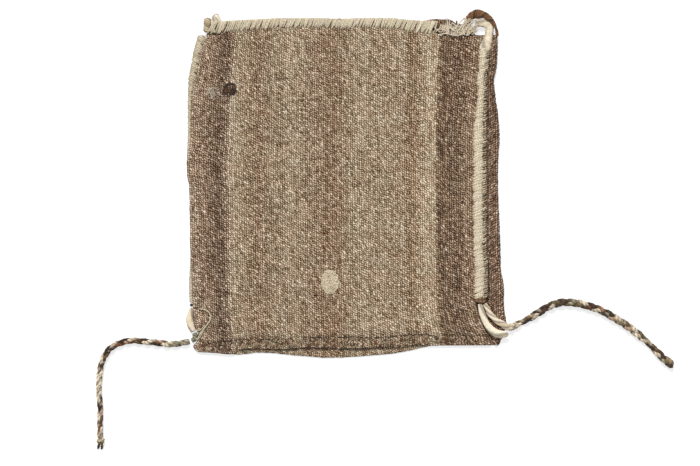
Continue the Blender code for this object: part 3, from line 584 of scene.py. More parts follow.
def cloth_material(name, stripes, columns, contrast=1.0, dotted=None, notched=None):
    """Warp-faced wool cloth: striped columns of two-ply yarn, whose plies show as short slanted ovals, painted
    lighter in their middle and darker in the gaps between them as light and shade.

    Stripes hold the column where each starts and its screen colour. One column may have a pale dot
    at every second ply, and another a dark one.
    """
    surface, nodes, shader = new_material(name)
    weave = nodes.add("UVMap", uv_map="Weave").outputs["UV"]
    parts = nodes.add("SeparateXYZ", {0: weave})
    place = nodes.add("TexCoord").outputs["Object"]
    near = nodes.add("TexNoise", {"Vector": place, "Scale": 300.0, "Detail": 1.0}).outputs["Color"]
    near = nodes.add("SeparateColor", {0: near}).outputs
    slow = nodes.noise(place, 60.0, 1.0)
    u = nodes.math("MULTIPLY_ADD", nodes.math("SUBTRACT", near[0], 0.5), 1.1, parts.outputs[0])
    v = nodes.math("MULTIPLY_ADD", nodes.math("SUBTRACT", near[1], 0.5), 0.6, parts.outputs[1])
    v = nodes.math("MULTIPLY_ADD", nodes.math("SUBTRACT", slow, 0.5), 1.2, v)
    column = nodes.math("FLOOR", u)
    odd = nodes.math("FLOORED_MODULO", column, 2.0)
    beside = nodes.math("SUBTRACT", nodes.math("SUBTRACT", u, column), 0.5)
    streak = nodes.add("TexWhiteNoise", {"W": column}, noise_dimensions="1D").outputs
    turn = nodes.math("MULTIPLY_ADD", v, 2.0, nodes.math("MULTIPLY", odd, 0.5))
    turn = nodes.math("MULTIPLY_ADD", streak["Value"], 0.5, turn)
    turn = nodes.math("MULTIPLY_ADD", beside, 0.65, turn)
    row = nodes.math("FLOOR", turn)
    above = nodes.math("SUBTRACT", nodes.math("SUBTRACT", turn, row), 0.5)
    cell = nodes.add("TexWhiteNoise", {"Vector": nodes.vector(column, row, 0.5)}, noise_dimensions="3D")
    chance = nodes.add("SeparateColor", {0: cell.outputs["Color"]}).outputs

    wide = nodes.math("POWER", nodes.math("MULTIPLY", beside, 1.8), 2.0)
    high = nodes.math("POWER", nodes.math("MULTIPLY", above, 2.1), 2.0)
    away = nodes.math("SQRT", nodes.math("ADD", wide, high))
    float_bump_and_shade = nodes.scale(away, 1.05, 0.35, -0.5, 0.5, smooth=True)

    ramp = nodes.add("ValToRGB", {"Fac": nodes.math("DIVIDE", nodes.math("ADD", column, 0.5), float(columns))})
    stops = ramp.color_ramp.elements
    stops.remove(stops[-1])
    for i, (start, colour) in enumerate(stripes):
        position = min(max(start / columns, 0.0), 1.0)
        stop = stops[0] if i == 0 else stops.new(position)
        stop.position = position
        stop.color = (*linear(colour), 1.0)

    along = nodes.vector(nodes.math("MULTIPLY", column, 0.37), nodes.math("MULTIPLY", v, 0.16))
    band = nodes.noise(along, 1.0, 2.0)
    fibre = nodes.noise(place, 900.0, 2.0, 0.6)
    blotch = nodes.noise(place, 14.0, 3.0, 0.6)
    second = nodes.math("FLOORED_MODULO", row, 2.0)
    # Painted light and shade: each float is lightened in its middle and darkened towards the gaps between floats,
    # more in some columns than in others. The same float shape also drives the bump.
    tone = nodes.math("MULTIPLY", float_bump_and_shade, nodes.scale(streak["Color"], 0.0, 1.0, 0.34, 0.58))
    for value, weight in (
        (chance[0], 0.27), (streak["Value"], 0.045), (second, 0.05), (band, 0.11), (fibre, 0.34), (blotch, 0.08),
    ):
        tone = nodes.math("MULTIPLY_ADD", nodes.math("SUBTRACT", value, 0.5), weight, tone)
    tone = nodes.math("ADD", tone, nodes.scale(chance[1], 0.91, 0.93, 0.0, 0.13))
    tone = nodes.math("SUBTRACT", tone, nodes.scale(chance[1], 0.07, 0.05, 0.0, 0.10))
    for spots, lift in ((dotted, 0.22), (notched, -0.22)):
        if spots is not None:
            here = nodes.math("COMPARE", column, float(spots), 0.5)
            dot = nodes.math("MULTIPLY", nodes.math("MULTIPLY", here, second), lift)
            tone = nodes.math("MULTIPLY_ADD", dot, nodes.math("ADD", float_bump_and_shade, 0.5), tone)
    tone = nodes.math("MULTIPLY", tone, contrast)

    hue = nodes.mix(nodes.scale(nodes.noise(place, 55.0, 2.0), 0.35, 0.65),
                    (1.035, 0.99, 0.96, 1.0), (0.97, 1.0, 0.98, 1.0))
    colour = nodes.mix(1.0, ramp.outputs["Color"], hue, "MULTIPLY")
    screen = nodes.add("Gamma", {"Color": colour, "Gamma": 0.4545}).outputs[0]
    screen = nodes.add("VectorMath", {0: screen, 1: nodes.grey(tone)}, operation="ADD").outputs[0]
    screen = nodes.add("VectorMath", {0: screen, 1: (0.10, 0.07, 0.05)}, operation="MAXIMUM").outputs[0]
    screen = nodes.add("VectorMath", {0: screen, 1: (0.93, 0.89, 0.80)}, operation="MINIMUM").outputs[0]
    colour = nodes.add("Gamma", {"Color": screen, "Gamma": 2.2}).outputs[0]
    nodes.tree.links.new(colour, shader.inputs["Base Color"])
    height = nodes.math("MULTIPLY_ADD", fibre, 0.5, float_bump_and_shade)
    bump = nodes.add("Bump", {"Strength": 0.8, "Distance": 0.0006, "Height": height})
    nodes.tree.links.new(bump.outputs["Normal"], shader.inputs["Normal"])
    return surface


# Camera, light and floor

def make_camera():
    """Camera straight above, far enough away that the bag is seen almost without perspective."""
    data = bpy.data.cameras.new("camera")
    height, frame_width, lies_at = 5.0, 700 * PIXEL, 0.008
    data.sensor_width = 36.0
    data.lens = data.sensor_width * (height - lies_at) / frame_width
    data.clip_end = 20.0
    camera = bpy.data.objects.new("camera", data)
    camera.location = (*spot(350, 233), height)
    bpy.context.scene.collection.objects.link(camera)
    bpy.context.scene.camera = camera


def make_light():
    """Soft key from beyond the mouth, slightly from the left, and even light from all round."""
    data = bpy.data.lights.new("key", "SUN")
    data.energy = 2.75
    data.angle = 0.35
    key = bpy.data.objects.new("key", data)
    key.rotation_euler = (-0.72, -0.22, 0.0)
    bpy.context.scene.collection.objects.link(key)
    world = bpy.data.worlds.new("studio")
    bpy.context.scene.world = world
    world.use_nodes = True
    nodes = Nodes(world.node_tree)
    background = world.node_tree.nodes["Background"]
    seen = backdrop_rays(nodes)
    nodes.tree.links.new(nodes.scale(seen, 0.0, 1.0, 0.42, 1.0), background.inputs["Strength"])
    background.inputs["Color"].default_value = (1.0, 1.0, 1.0, 1.0)


def backdrop_rays(nodes):
    """1 for rays that show the background itself: to the camera, in gloss and through glass."""
    path = nodes.add("LightPath").outputs
    seen = nodes.math("MAXIMUM", path["Is Camera Ray"], path["Is Glossy Ray"])
    return nodes.math("MAXIMUM", seen, path["Is Transmission Ray"])


def make_floor():
    """White floor that keeps a faint shadow of the bag."""
    reach = 4.0
    mesh = bpy.data.meshes.new("floor")
    corners = [(-reach, -reach, 0), (reach, -reach, 0), (reach, reach, 0), (-reach, reach, 0)]
    mesh.from_pydata(corners, [], [(0, 1, 2, 3)])
    surface = bpy.data.materials.new("floor")
    surface.use_nodes = True
    nodes = Nodes(surface.node_tree)
    shader = surface.node_tree.nodes["Principled BSDF"]
    shader.inputs["Base Color"].default_value = (0.50, 0.50, 0.50, 1.0)
    shader.inputs["Roughness"].default_value = 0.9
    shader.inputs["Specular IOR Level"].default_value = 0.0
    shader.inputs["Emission Color"].default_value = (1.0, 1.0, 1.0, 1.0)
    glow = nodes.scale(backdrop_rays(nodes), 0.0, 1.0, 0.0, 0.68)
    nodes.tree.links.new(glow, shader.inputs["Emission Strength"])
    mesh.materials.append(surface)
    floor = bpy.data.objects.new("floor", mesh)
    floor.location.z = -0.0003
    bpy.context.scene.collection.objects.link(floor)


# Cords

LEFT_CORNER = (LEFT_X, HEM_Y)
RIGHT_CORNER = (RIGHT_X, HEM_Y)
LEFT_MOUTH = (LEFT_X, MOUTH_Y)
RIGHT_MOUTH = (RIGHT_X, MOUTH_Y)


def add_braid(yarn, middle, half_width, half_height, wools, wave, seed):
    """Three strands plaited round a middle line, each crossing in its own wool."""
    along = unit(np.gradient(middle, axis=0))
    side = unit(np.cross(along, (0.0, 0.0, 1.0)))
    reach = distances(middle)
    strand_half = 0.52 * half_width
    spread = half_width - strand_half
    strand_rise = 0.46 * half_height
    lift = half_height - strand_rise
    colours = np.array([linear(LETTERS[letter]) for letter in wools])
    for strand in range(3):
        turn = 2 * pi * (reach / wave + strand / 3)
        turn = turn + 0.18 * wander(reach, 0.03, seed + strand)
        path = middle + side * (spread * np.sin(turn))[:, None]
        path[:, 2] -= lift * np.sin(2 * turn)
        crossing = np.round(2 * (reach / wave + strand / 3 - 3 / 8)).astype(int)
        order = np.clip(3 * crossing - 2 * strand, 0, len(colours) - 1)
        base = colours[order]
        partner = colours[np.clip(order + 3, 0, len(colours) - 1)]
        plies = np.stack([base, 0.65 * base + 0.35 * partner], axis=1)
        # Painted shade: each strand is darker where it dips under the other two.
        height = np.clip(0.62 - 0.55 * np.sin(2 * turn), 0.25, 1.0)
        yarn.tube(path, strand_half, strand_rise, plies, pitch=0.011, groove=0.16, sides=12,
                  hand=-1, ends=(0.001, 0.003), rough=0.07, shade_depth=height, seed=seed + 5 * strand)


def make_left_braid(surface):
    middle = corner_route(LEFT_BRAID_ROUTE, LEFT_CORNER, spacing=0.0009)
    reach = distances(middle)
    middle[:, 2] = 0.0046
    half = 0.00475 - 0.0004 * ease((reach - 0.13) / 0.05) + 0.0002 * wander(reach, 0.02, 3)
    yarn = Yarn()
    add_braid(yarn, middle, half, 0.88 * half, LEFT_BRAID_WOOLS, 0.040, 21)
    braid = yarn.finish("left_braid_wool", surface, "left_braid")

    knot = Yarn()
    place = corner_route(
        ((-126.1, -113.0, 4.5, 4.2, 4.0), (-125.9, -116.5, 4.9, 5.6, 4.4), (-125.6, -119.5, 4.4, 4.6, 4.0),
         (-125.5, -121.0, 4.0, 3.6, 3.4)), LEFT_CORNER, spacing=0.0006)
    knot.tube(place[:, :3], place[:, 3], place[:, 4], [linear("tan"), linear("brown"), linear("olive")],
              pitch=0.012, groove=0.3, sides=16, ends=(0.001, 0.002), rough=0.1, seed=31)
    wrap = [(-130.6, -115.5, 4.0), (-128.0, -116.6, 8.6), (-124.5, -115.4, 9.2), (-121.4, -114.0, 7.2),
            (-120.6, -115.0, 4.0)]
    band = corner_route(wrap, LEFT_CORNER, spacing=0.0006)
    knot.tube(band, 0.0017, 0.0013, [linear("pale"), linear("green")], pitch=0.006,
              guide=(0, 1, 0), ends=(0.001, 0.001), seed=32)
    for tip, wool in (
        (((-127.4, -119.5, 4.2), (-128.3, -122.6, 3.3), (-129.3, -125.5, 2.4), (-130.1, -128.0, 2.0)), "chocolate"),
        (((-124.2, -119.5, 4.0), (-123.8, -123.0, 3.4), (-124.2, -126.0, 2.7), (-125.0, -128.6, 2.2)), "olive"),
    ):
        line = corner_route(tip, LEFT_CORNER, spacing=0.0006)
        size = 0.0021 - 0.0007 * np.linspace(0, 1, len(line)) ** 2
        knot.tube(line, size, 0.9 * size, [linear(wool), linear("dark")], pitch=0.009,
                  ends=(0.001, 0.0016), rough=0.12, seed=33)
    knotted = knot.finish("left_braid_knot_wool", surface, "left_braid_knot")


def make_right_braid(surface):
    middle = corner_route(RIGHT_BRAID_ROUTE, RIGHT_CORNER, spacing=0.0009)
    reach = distances(middle)
    neck = 0.0014 * np.exp(-((reach - 0.222) / 0.012) ** 2) + 0.0014 * np.exp(-((reach - 0.022) / 0.014) ** 2)
    flare = 0.0008 * ease((reach - reach[-1] + 0.02) / 0.02)
    half = 0.0058 - neck + flare + 0.0002 * wander(reach, 0.02, 4)
    middle[:, 2] += 0.9 * half - 0.006
    yarn = Yarn()
    add_braid(yarn, middle, half, 0.86 * half, RIGHT_BRAID_WOOLS, 0.040, 51)
    braid = yarn.finish("right_braid_wool", surface, "right_braid")


def make_loose_thread(surface):
    """Loose thread at the lower left corner, which frays where it comes out of the tie."""
    points = [(LEFT_X + x * MM, HEM_Y + y * MM) for x, y in LOOSE_THREAD_ROUTE]
    x, y = np.array(points).T
    line = route(on_front(x, y, FIT + 0.0012), 0.0007)
    reach = distances(line)
    half = 0.0010 + 0.0003 * ease((reach - 0.03) / 0.02)
    yarn = Yarn()
    yarn.tube(line, half, half, [linear("green"), linear("cream")], pitch=0.005, sides=8,
              ends=(0.001, 0.001), seed=61)
    thread = yarn.finish("loose_thread_wool", surface, "loose_thread")
    fray = Yarn()
    for i, points in enumerate((
        ((205.6, 326.5), (203.4, 331.4), (199.6, 337.5), (196.2, 340.6)),
        ((204.5, 325.3), (201.4, 329.0), (199.1, 330.6), (196.5, 330.2)),
        ((203.8, 329.4), (200.6, 332.6), (198.4, 337.4), (195.2, 339.4)),
    )):
        fray.tube(route(on_cloth(points, 0.0011), 0.0007), 0.0007, 0.0006, [linear("cream"), linear("pale")],
                  pitch=0.004, sides=6, ends=(0.0008, 0.0008), seed=62 + i)
    frayed = fray.finish("loose_thread_fray", surface)


# Cloth

def grid_piece(name, upper, lower, weave, surface, node):
    """Closed slab between two grids of points. The lower grid may be coarser by a whole step."""
    rows, columns = upper.shape[:2]
    step = (rows - 1) // (lower.shape[0] - 1)
    top = np.arange(rows * columns).reshape(rows, columns)
    low_rows, low_columns = lower.shape[:2]
    low = rows * columns + np.arange(low_rows * low_columns).reshape(low_rows, low_columns)

    def squares(index):
        return np.stack([index[:-1, :-1], index[:-1, 1:], index[1:, 1:], index[1:, :-1]], axis=-1).reshape(-1, 4)

    def rim(fine, coarse):
        groups = [list(fine[i * step:(i + 1) * step + 1]) for i in range(len(coarse) - 1)]
        return [[*group, coarse[i + 1], coarse[i]] for i, group in enumerate(groups)]

    rims = [
        *rim(top[:, 0], low[:, 0]), *rim(top[-1], low[-1]),
        *(face[::-1] for face in rim(top[:, -1], low[:, -1])), *(face[::-1] for face in rim(top[0], low[0])),
    ]
    faces = squares(top).tolist() + squares(low)[:, ::-1].tolist() + [[int(i) for i in face] for face in rims]
    mesh = bpy.data.meshes.new(name)
    mesh.from_pydata(np.vstack([upper.reshape(-1, 3), lower.reshape(-1, 3)]), [], faces)
    corners = np.zeros(len(mesh.loops), int)
    mesh.loops.foreach_get("vertex_index", corners)
    places = np.vstack([weave.reshape(-1, 2), weave[::step, ::step].reshape(-1, 2)])
    mesh.uv_layers.new(name="Weave").data.foreach_set("uv", places[corners].astype(np.float32).ravel())
    flat = np.stack(np.meshgrid(np.linspace(0, 1, columns), np.linspace(0, 1, rows)), axis=-1)
    bake = np.vstack([
        flat.reshape(-1, 2) * (0.49, 0.97) + (0.0, 0.015),
        flat[::step, ::step].reshape(-1, 2) * (0.49, 0.97) + (0.51, 0.015),
    ])
    mesh.uv_layers.new(name="OFBake").data.foreach_set("uv", bake[corners].astype(np.float32).ravel())
    return place_piece(name, mesh, surface, node)


def relief(column, row, seed):
    """How far warp-faced cloth stands out, from 0 in a gap to 1 on top of a float."""
    index = np.floor(column).astype(int)
    hump = np.sin(pi * (column - index))
    phase = row + 0.5 * (index % 2)
    over = 0.5 - 0.5 * np.cos(2 * pi * phase)
    size = np.random.default_rng(seed).uniform(0.55, 1.0, (256, 128))
    here = size[index % 256, np.floor(phase).astype(int) % 128]
    return (0.35 + 0.65 * hump) * (0.25 + 0.75 * over) * here


def normals(grid):
    return unit(np.cross(np.gradient(grid, axis=1), np.gradient(grid, axis=0)))


def edge_share(count, first, second):
    """Share of the full thickness along a row of points, less at its two ends."""
    share = np.ones(count)
    share[[0, -1]] = first
    share[[1, -2]] = second
    return share


FRONT_STRIPES_PX = (
    (190, (152, 131, 109)), (197, (144, 120, 96)), (205, (136, 112, 89)), (211, (122, 98, 76)),
    (216, (110, 87, 65)), (221, (106, 83, 61)), (225, (121, 97, 75)), (228, (138, 115, 91)),
    (230, (164, 143, 118)), (236, (168, 147, 122)), (243, (160, 138, 113)), (247, (148, 125, 99)),
    (255, (144, 121, 95)), (258, (139, 113, 89)), (264, (148, 126, 101)), (283, (157, 136, 111)),
    (296, (162, 141, 116)), (303, (153, 131, 106)), (318, (147, 123, 98)), (336, (141, 116, 91)),
    (342, (148, 124, 99)), (350, (158, 137, 111)), (404, (157, 135, 110)), (409, (138, 113, 84)),
    (413, (151, 127, 100)), (422, (168, 144, 118)), (428, (180, 158, 131)), (435, (168, 146, 120)),
    (439, (114, 91, 67)), (450, (121, 96, 73)), (457, (108, 83, 60)), (464, (138, 113, 89)),
)


def front_x(share, y):
    """X of a warp column of the front, where only columns near a side follow that side."""
    left, right = spot(190.3, 0)[0], spot(474.5, 0)[0]
    lean = (front_left(y) - left) * (1 - share) ** 5.6 + (front_right(y) - right) * share ** 6
    return left + (right - left) * share + lean


def make_front(surface):
    """Front cloth with its weave standing out, smooth and coarse on its hidden side."""
    columns, rows, coarse = 2 * FRONT_COLUMNS, 364, 4
    share, level = np.meshgrid(np.linspace(0, 1, columns + 1), np.linspace(HEM_Y, MOUTH_Y, rows + 1))
    nominal = front_x(share, level)
    y = shifted(level, front_foot(nominal) - 0.0004, front_top(nominal))
    x = front_x(share, y)
    stray = np.random.default_rng(73).uniform(-0.00030, 0.00030, (2, rows + 1, columns + 1))
    inside = np.outer(edge_share(rows + 1, 0.0, 1.0), edge_share(columns + 1, 0.0, 1.0))
    x = x + stray[0] * inside
    y = y + stray[1] * inside
    y[-1] += 0.0010 * wander(nominal[-1], 0.0035, 71) * (nominal[-1] > across(-101))
    x[:, 0] += 0.0005 * wander(y[:, 0], 0.004, 72) - 0.0006 - 0.0013 * np.exp(-((y[:, 0] - up(16)) / 0.010) ** 2)
    middle = np.stack([x, y, front_height(x, y)], axis=-1)
    weave = np.stack([share * FRONT_COLUMNS, (y - HEM_Y) / ROW_PITCH], axis=-1)
    raised = relief(np.minimum(weave[..., 0], FRONT_COLUMNS - 1e-6), weave[..., 1], 74)
    thick = np.outer(edge_share(rows + 1, 0.4, 0.85), edge_share(columns + 1, 0.4, 0.85))
    out = normals(middle)
    upper = middle + out * (thick * (CLOTH / 2 - 0.4 * RELIEF + RELIEF * raised))[..., None]
    lower = (middle - out * (thick * CLOTH / 2)[..., None])[::coarse, ::coarse]
    cloth = grid_piece("front_cloth", upper, lower, weave, surface, "front_panel")


def make_back(surface):
    """Back cloth, flat on the floor, whose right side curls up and over as far as the seam."""
    rows = 292
    columns = np.arange(BACK_COLUMNS) + 0.5
    share, level = np.meshgrid((columns - 0.5) / (BACK_COLUMNS - 1), np.linspace(HEM_Y, MOUTH_Y, rows + 1))
    fold_level = RIGHT_X + right_offset(level) * MM - curl_height(level) / 2
    nominal = np.minimum(LEFT_X + 0.468 * share, fold_level)
    y = shifted(level, HEM_Y + back_foot_offset(nominal) * MM, MOUTH_Y + back_top_offset(nominal) * MM)
    height = curl_height(y)
    radius = (height - CLOTH) / 2
    left = back_left(y)
    fold = RIGHT_X + right_offset(y) * MM - height / 2 + 0.0004 * wander(y, 0.003, 76)
    strip = np.maximum(fold - strip_edge(y), SEAM_GAP)
    reach = share * (fold - left + pi * radius + strip)
    angle = np.clip((reach - (fold - left)) / radius, 0, pi)
    flat = np.minimum(reach, fold - left)
    over = np.maximum(reach - (fold - left) - pi * radius, 0)
    x = left + flat + radius * np.sin(angle) - over
    z = CLOTH / 2 + radius * (1 - np.cos(angle))
    stray = np.random.default_rng(75).uniform(-0.00030, 0.00030, (rows + 1, BACK_COLUMNS))
    middle = np.stack([x, y + stray, z], axis=-1)
    weave = np.stack([np.broadcast_to(share * (BACK_COLUMNS - 1) + 0.5, y.shape), (y - HEM_Y) / ROW_PITCH], axis=-1)
    raised = relief(weave[..., 0], weave[..., 1], 77)
    thick = np.outer(edge_share(rows + 1, 0.45, 0.9), edge_share(BACK_COLUMNS, 0.5, 1.0))
    out = normals(middle)
    upper = middle + out * (thick * (CLOTH / 2 - 0.4 * RELIEF + RELIEF * raised))[..., None]
    lower = middle - out * (thick * (CLOTH / 2 - RELIEF + RELIEF * raised))[..., None]
    cloth = grid_piece("back_cloth", upper, lower, weave, surface, "back_panel")


# Mouth, seams and corners

def make_binding(surface):
    """Pale overcast stitches close together over the edge of the mouth."""
    random = np.random.default_rng(81)
    start, end, pitch = spot(214, 0)[0], spot(437, 0)[0], 0.0019
    inner, outer = CLOTH / 2 + 0.0004, CLOTH / 2 + 0.0012
    creams = [linear("cream"), linear((232, 216, 190)), linear((214, 198, 172)), linear((236, 224, 200)),
              linear((205, 186, 160)), linear((214, 206, 168))]
    yarn = Yarn()
    for i, x in enumerate(np.arange(start, end, pitch)):
        group = i % 3
        x = x + (-0.0003, 0.0, 0.0003)[group]
        deep = binding_depth(x) * MM * (1.04, 0.94, 0.84)[group] + random.uniform(-0.0016, 0.0012)
        lift = random.uniform(-0.0002, 0.0004)
        section = np.array([
            (deep + 0.0006, inner - 0.0014), (deep - 0.0008, inner), (deep - 0.003, outer + lift),
            (0.006, outer + lift), (0.0018, outer), (0.0002, outer * 0.72), (-0.0003, 0.0),
            (0.0002, -outer * 0.72), (0.0018, -outer), (0.0062, -outer), (0.0072, 0.0008 - inner),
        ])
        slant = 0.40 + random.uniform(-0.16, 0.16)
        line_x = x - slant * section[:, 0] + 0.0003 * random.uniform(-1, 1)
        line_y = mouth_lip(line_x) - section[:, 0]
        line = np.stack([line_x, line_y, front_height(line_x, line_y) + section[:, 1]], axis=-1)
        first, second = random.integers(0, len(creams), 2)
        tone = random.uniform(0.84, 1.06)
        yarn.tube(route(line, 0.0010), 0.00130 + random.uniform(-0.00025, 0.0002), 0.0008,
                  [creams[first] * tone, creams[second] * tone], pitch=0.0045, groove=0.25, sides=8,
                  guide=(1.0, 0.4, 0.0), ends=(0.0015, 0.0015), rough=0.12,
                  phase=random.uniform(0, 6), seed=100 + i)
    yarn.finish("mouth_overcast", surface, "mouth_binding")


def make_left_seam(surface):
    """Pale overcast cord with a dark thread wound round it. Lower down it sinks under the front's edge."""
    y = np.arange(up(77), up(-23), 0.0008)
    x, half_width, half_height = left_cord(y)
    line = np.stack([x, y, FIT + half_height], axis=-1)
    yarn = Yarn()
    yarn.tube(line, 0.9 * half_width, 0.9 * half_height, [linear("pale"), linear("grey")], pitch=0.04, groove=0.1,
              sides=16, ends=(0.002, 0.002), rough=0.06, seed=201)
    spots = np.arange(up(79), up(-25), 0.0024)
    x, half_width, half_height = left_cord(spots)
    middles = np.stack([x, spots, FIT + half_height], axis=-1)
    stitches_over(yarn, middles, 0.95 * half_width, 0.95 * half_height, -0.55, ("cream", "pale", "cream", "grey"),
                  (0.65, 0.10, 0.1), 0.0016, 2100)
    turn = np.linspace(-0.06, 0.24, 9) * 2 * pi
    for centre in np.arange(up(228), up(-35), 0.0133):
        ring_y = centre - 0.0030 * np.cos(turn)
        cord_x, wide, high = left_cord(ring_y)
        ring = np.stack([
            cord_x + 1.18 * wide * np.cos(turn), ring_y, FIT + high + 1.18 * high * np.sin(turn) + 0.0004,
        ], axis=-1)
        yarn.tube(ring, 0.0008, 0.0006, [linear("dark"), linear("brown")], pitch=0.004, sides=6,
                  guide=(0, 1, 0), ends=(0.0006, 0.0006), seed=202)
    yarn.finish("left_seam_cord_wool", surface, "left_seam_cord")


def make_right_seam(surface):
    """Pale overcast cord, the looped yarn on its outer flank and the wrap near its foot."""
    y = np.arange(up(85), up(-40), 0.0008)
    cord_x, cord_half, over_x, over_half = right_cords(y)
    cord_x = cord_x + 0.0006 * wander(y, 0.006, 213)
    yarn = Yarn()
    line = np.stack([cord_x, y, np.full(len(y), RIGHT_EDGE_Z)], axis=-1)
    yarn.tube(line, 0.92 * cord_half, 0.0042, [linear((238, 224, 196)), linear((226, 210, 182))], pitch=0.06,
              groove=0.08, sides=20, ends=(0.001, 0.002), rough=0.05, seed=211)
    spots = np.arange(up(86), up(-44), 0.0023)
    x, half, _, _ = right_cords(spots)
    x = x + 0.0008 * wander(spots, 0.005, 214) - 0.0002
    middles = np.stack([x, spots, np.full(len(spots), RIGHT_EDGE_Z)], axis=-1)
    swell = 1.04 + 0.10 * wander(spots, 0.004, 215)
    stitches_over(yarn, middles, half * swell, np.full(len(spots), 0.0042), 0.35,
                  ("cream", (238, 226, 200), (220, 204, 176), "olive"), (0.0, 0.0, 0.12), 0.0017, 2200)
    yarn.finish("right_seam_cord_wool", surface, "right_seam_cord")

    random = np.random.default_rng(82)
    loops = Yarn()
    # Brown and dark yarn under the loops: painted shade that shows between the loops, and painted shadow as a dark
    # line along their outer edge, beside the back's strip.
    base = np.stack([over_x, y, np.full(len(y), RIGHT_EDGE_Z - 0.0010)], axis=-1)[::2]
    loops.tube(base, over_half[::2], 0.0022, [linear("brown"), linear("dark")], pitch=0.006, sides=10, seed=212)
    wools = [linear("pale"), linear("grey"), linear("tan"), linear("brown"), linear("cream")]
    for i, level in enumerate(np.arange(up(86), up(-44), 0.0031)):
        level += random.uniform(-0.0006, 0.0006)
        _, _, middle, half = right_cords(level)
        half *= random.uniform(0.8, 1.25)
        rise = RIGHT_EDGE_Z + 0.0024 + random.uniform(-0.0006, 0.0006)
        lean = random.uniform(0.0004, 0.0018)
        line = np.array([
            (middle - half - 0.0022, level - lean, rise + 0.0006), (middle - 0.3 * half, level - 0.3 * lean, rise + 0.0008),
            (middle + 0.15 * half, level + 0.4 * lean, rise - 0.0003), (middle + 0.5 * half, level + lean, rise - 0.0020),
            (middle + 0.4 * half, level + 1.2 * lean, rise - 0.0040),
        ])
        first, second = random.choice(len(wools), 2, p=(0.34, 0.2, 0.22, 0.1, 0.14))
        loops.tube(route(line, 0.0008), 0.00125, 0.0010, [wools[first], wools[second]], pitch=0.004,
                   sides=8, guide=(0.3, 1, 0), ends=(0.0008, 0.0008), rough=0.1, seed=300 + i)
    loops.finish("right_seam_overcast_wool", surface, "right_seam_overcast")

    wrap = Yarn()
    x, half, _, over = right_cords(up(81))
    for i, mark in enumerate((78.2, 80.0, 81.8, 83.6)):
        turn = np.linspace(-0.3, pi + 0.3, 24)
        ring = np.stack([
            x + 0.3 * over - (half + 0.3 * over + 0.0003) * np.cos(turn), up(mark) + 0.0006 * np.sin(turn * 2 + i),
            RIGHT_EDGE_Z - 0.0008 + 0.0056 * np.sin(turn),
        ], axis=-1)
        wrap.tube(ring, 0.0011, 0.0009, [linear("brown"), linear("tan" if i % 2 else "brown")], pitch=0.005,
                  sides=8, guide=(0, 1, 0), ends=(0.001, 0.001), seed=220 + i)
    wrap.finish("right_seam_wrap_wool", surface, "right_seam_wrap")


def make_thick_yarn(name, surface, points, corner, base_z, wools, swell=1.0, **shape):
    """One thick yarn on a route of the CAD part."""
    line = corner_route(points, corner, base_z)
    yarn = Yarn()
    yarn.tube(line[:, :3], swell * line[:, 3], line[:, 4], [linear(wool) for wool in wools], **shape)
    return yarn.finish(name + "_wool", surface, name)


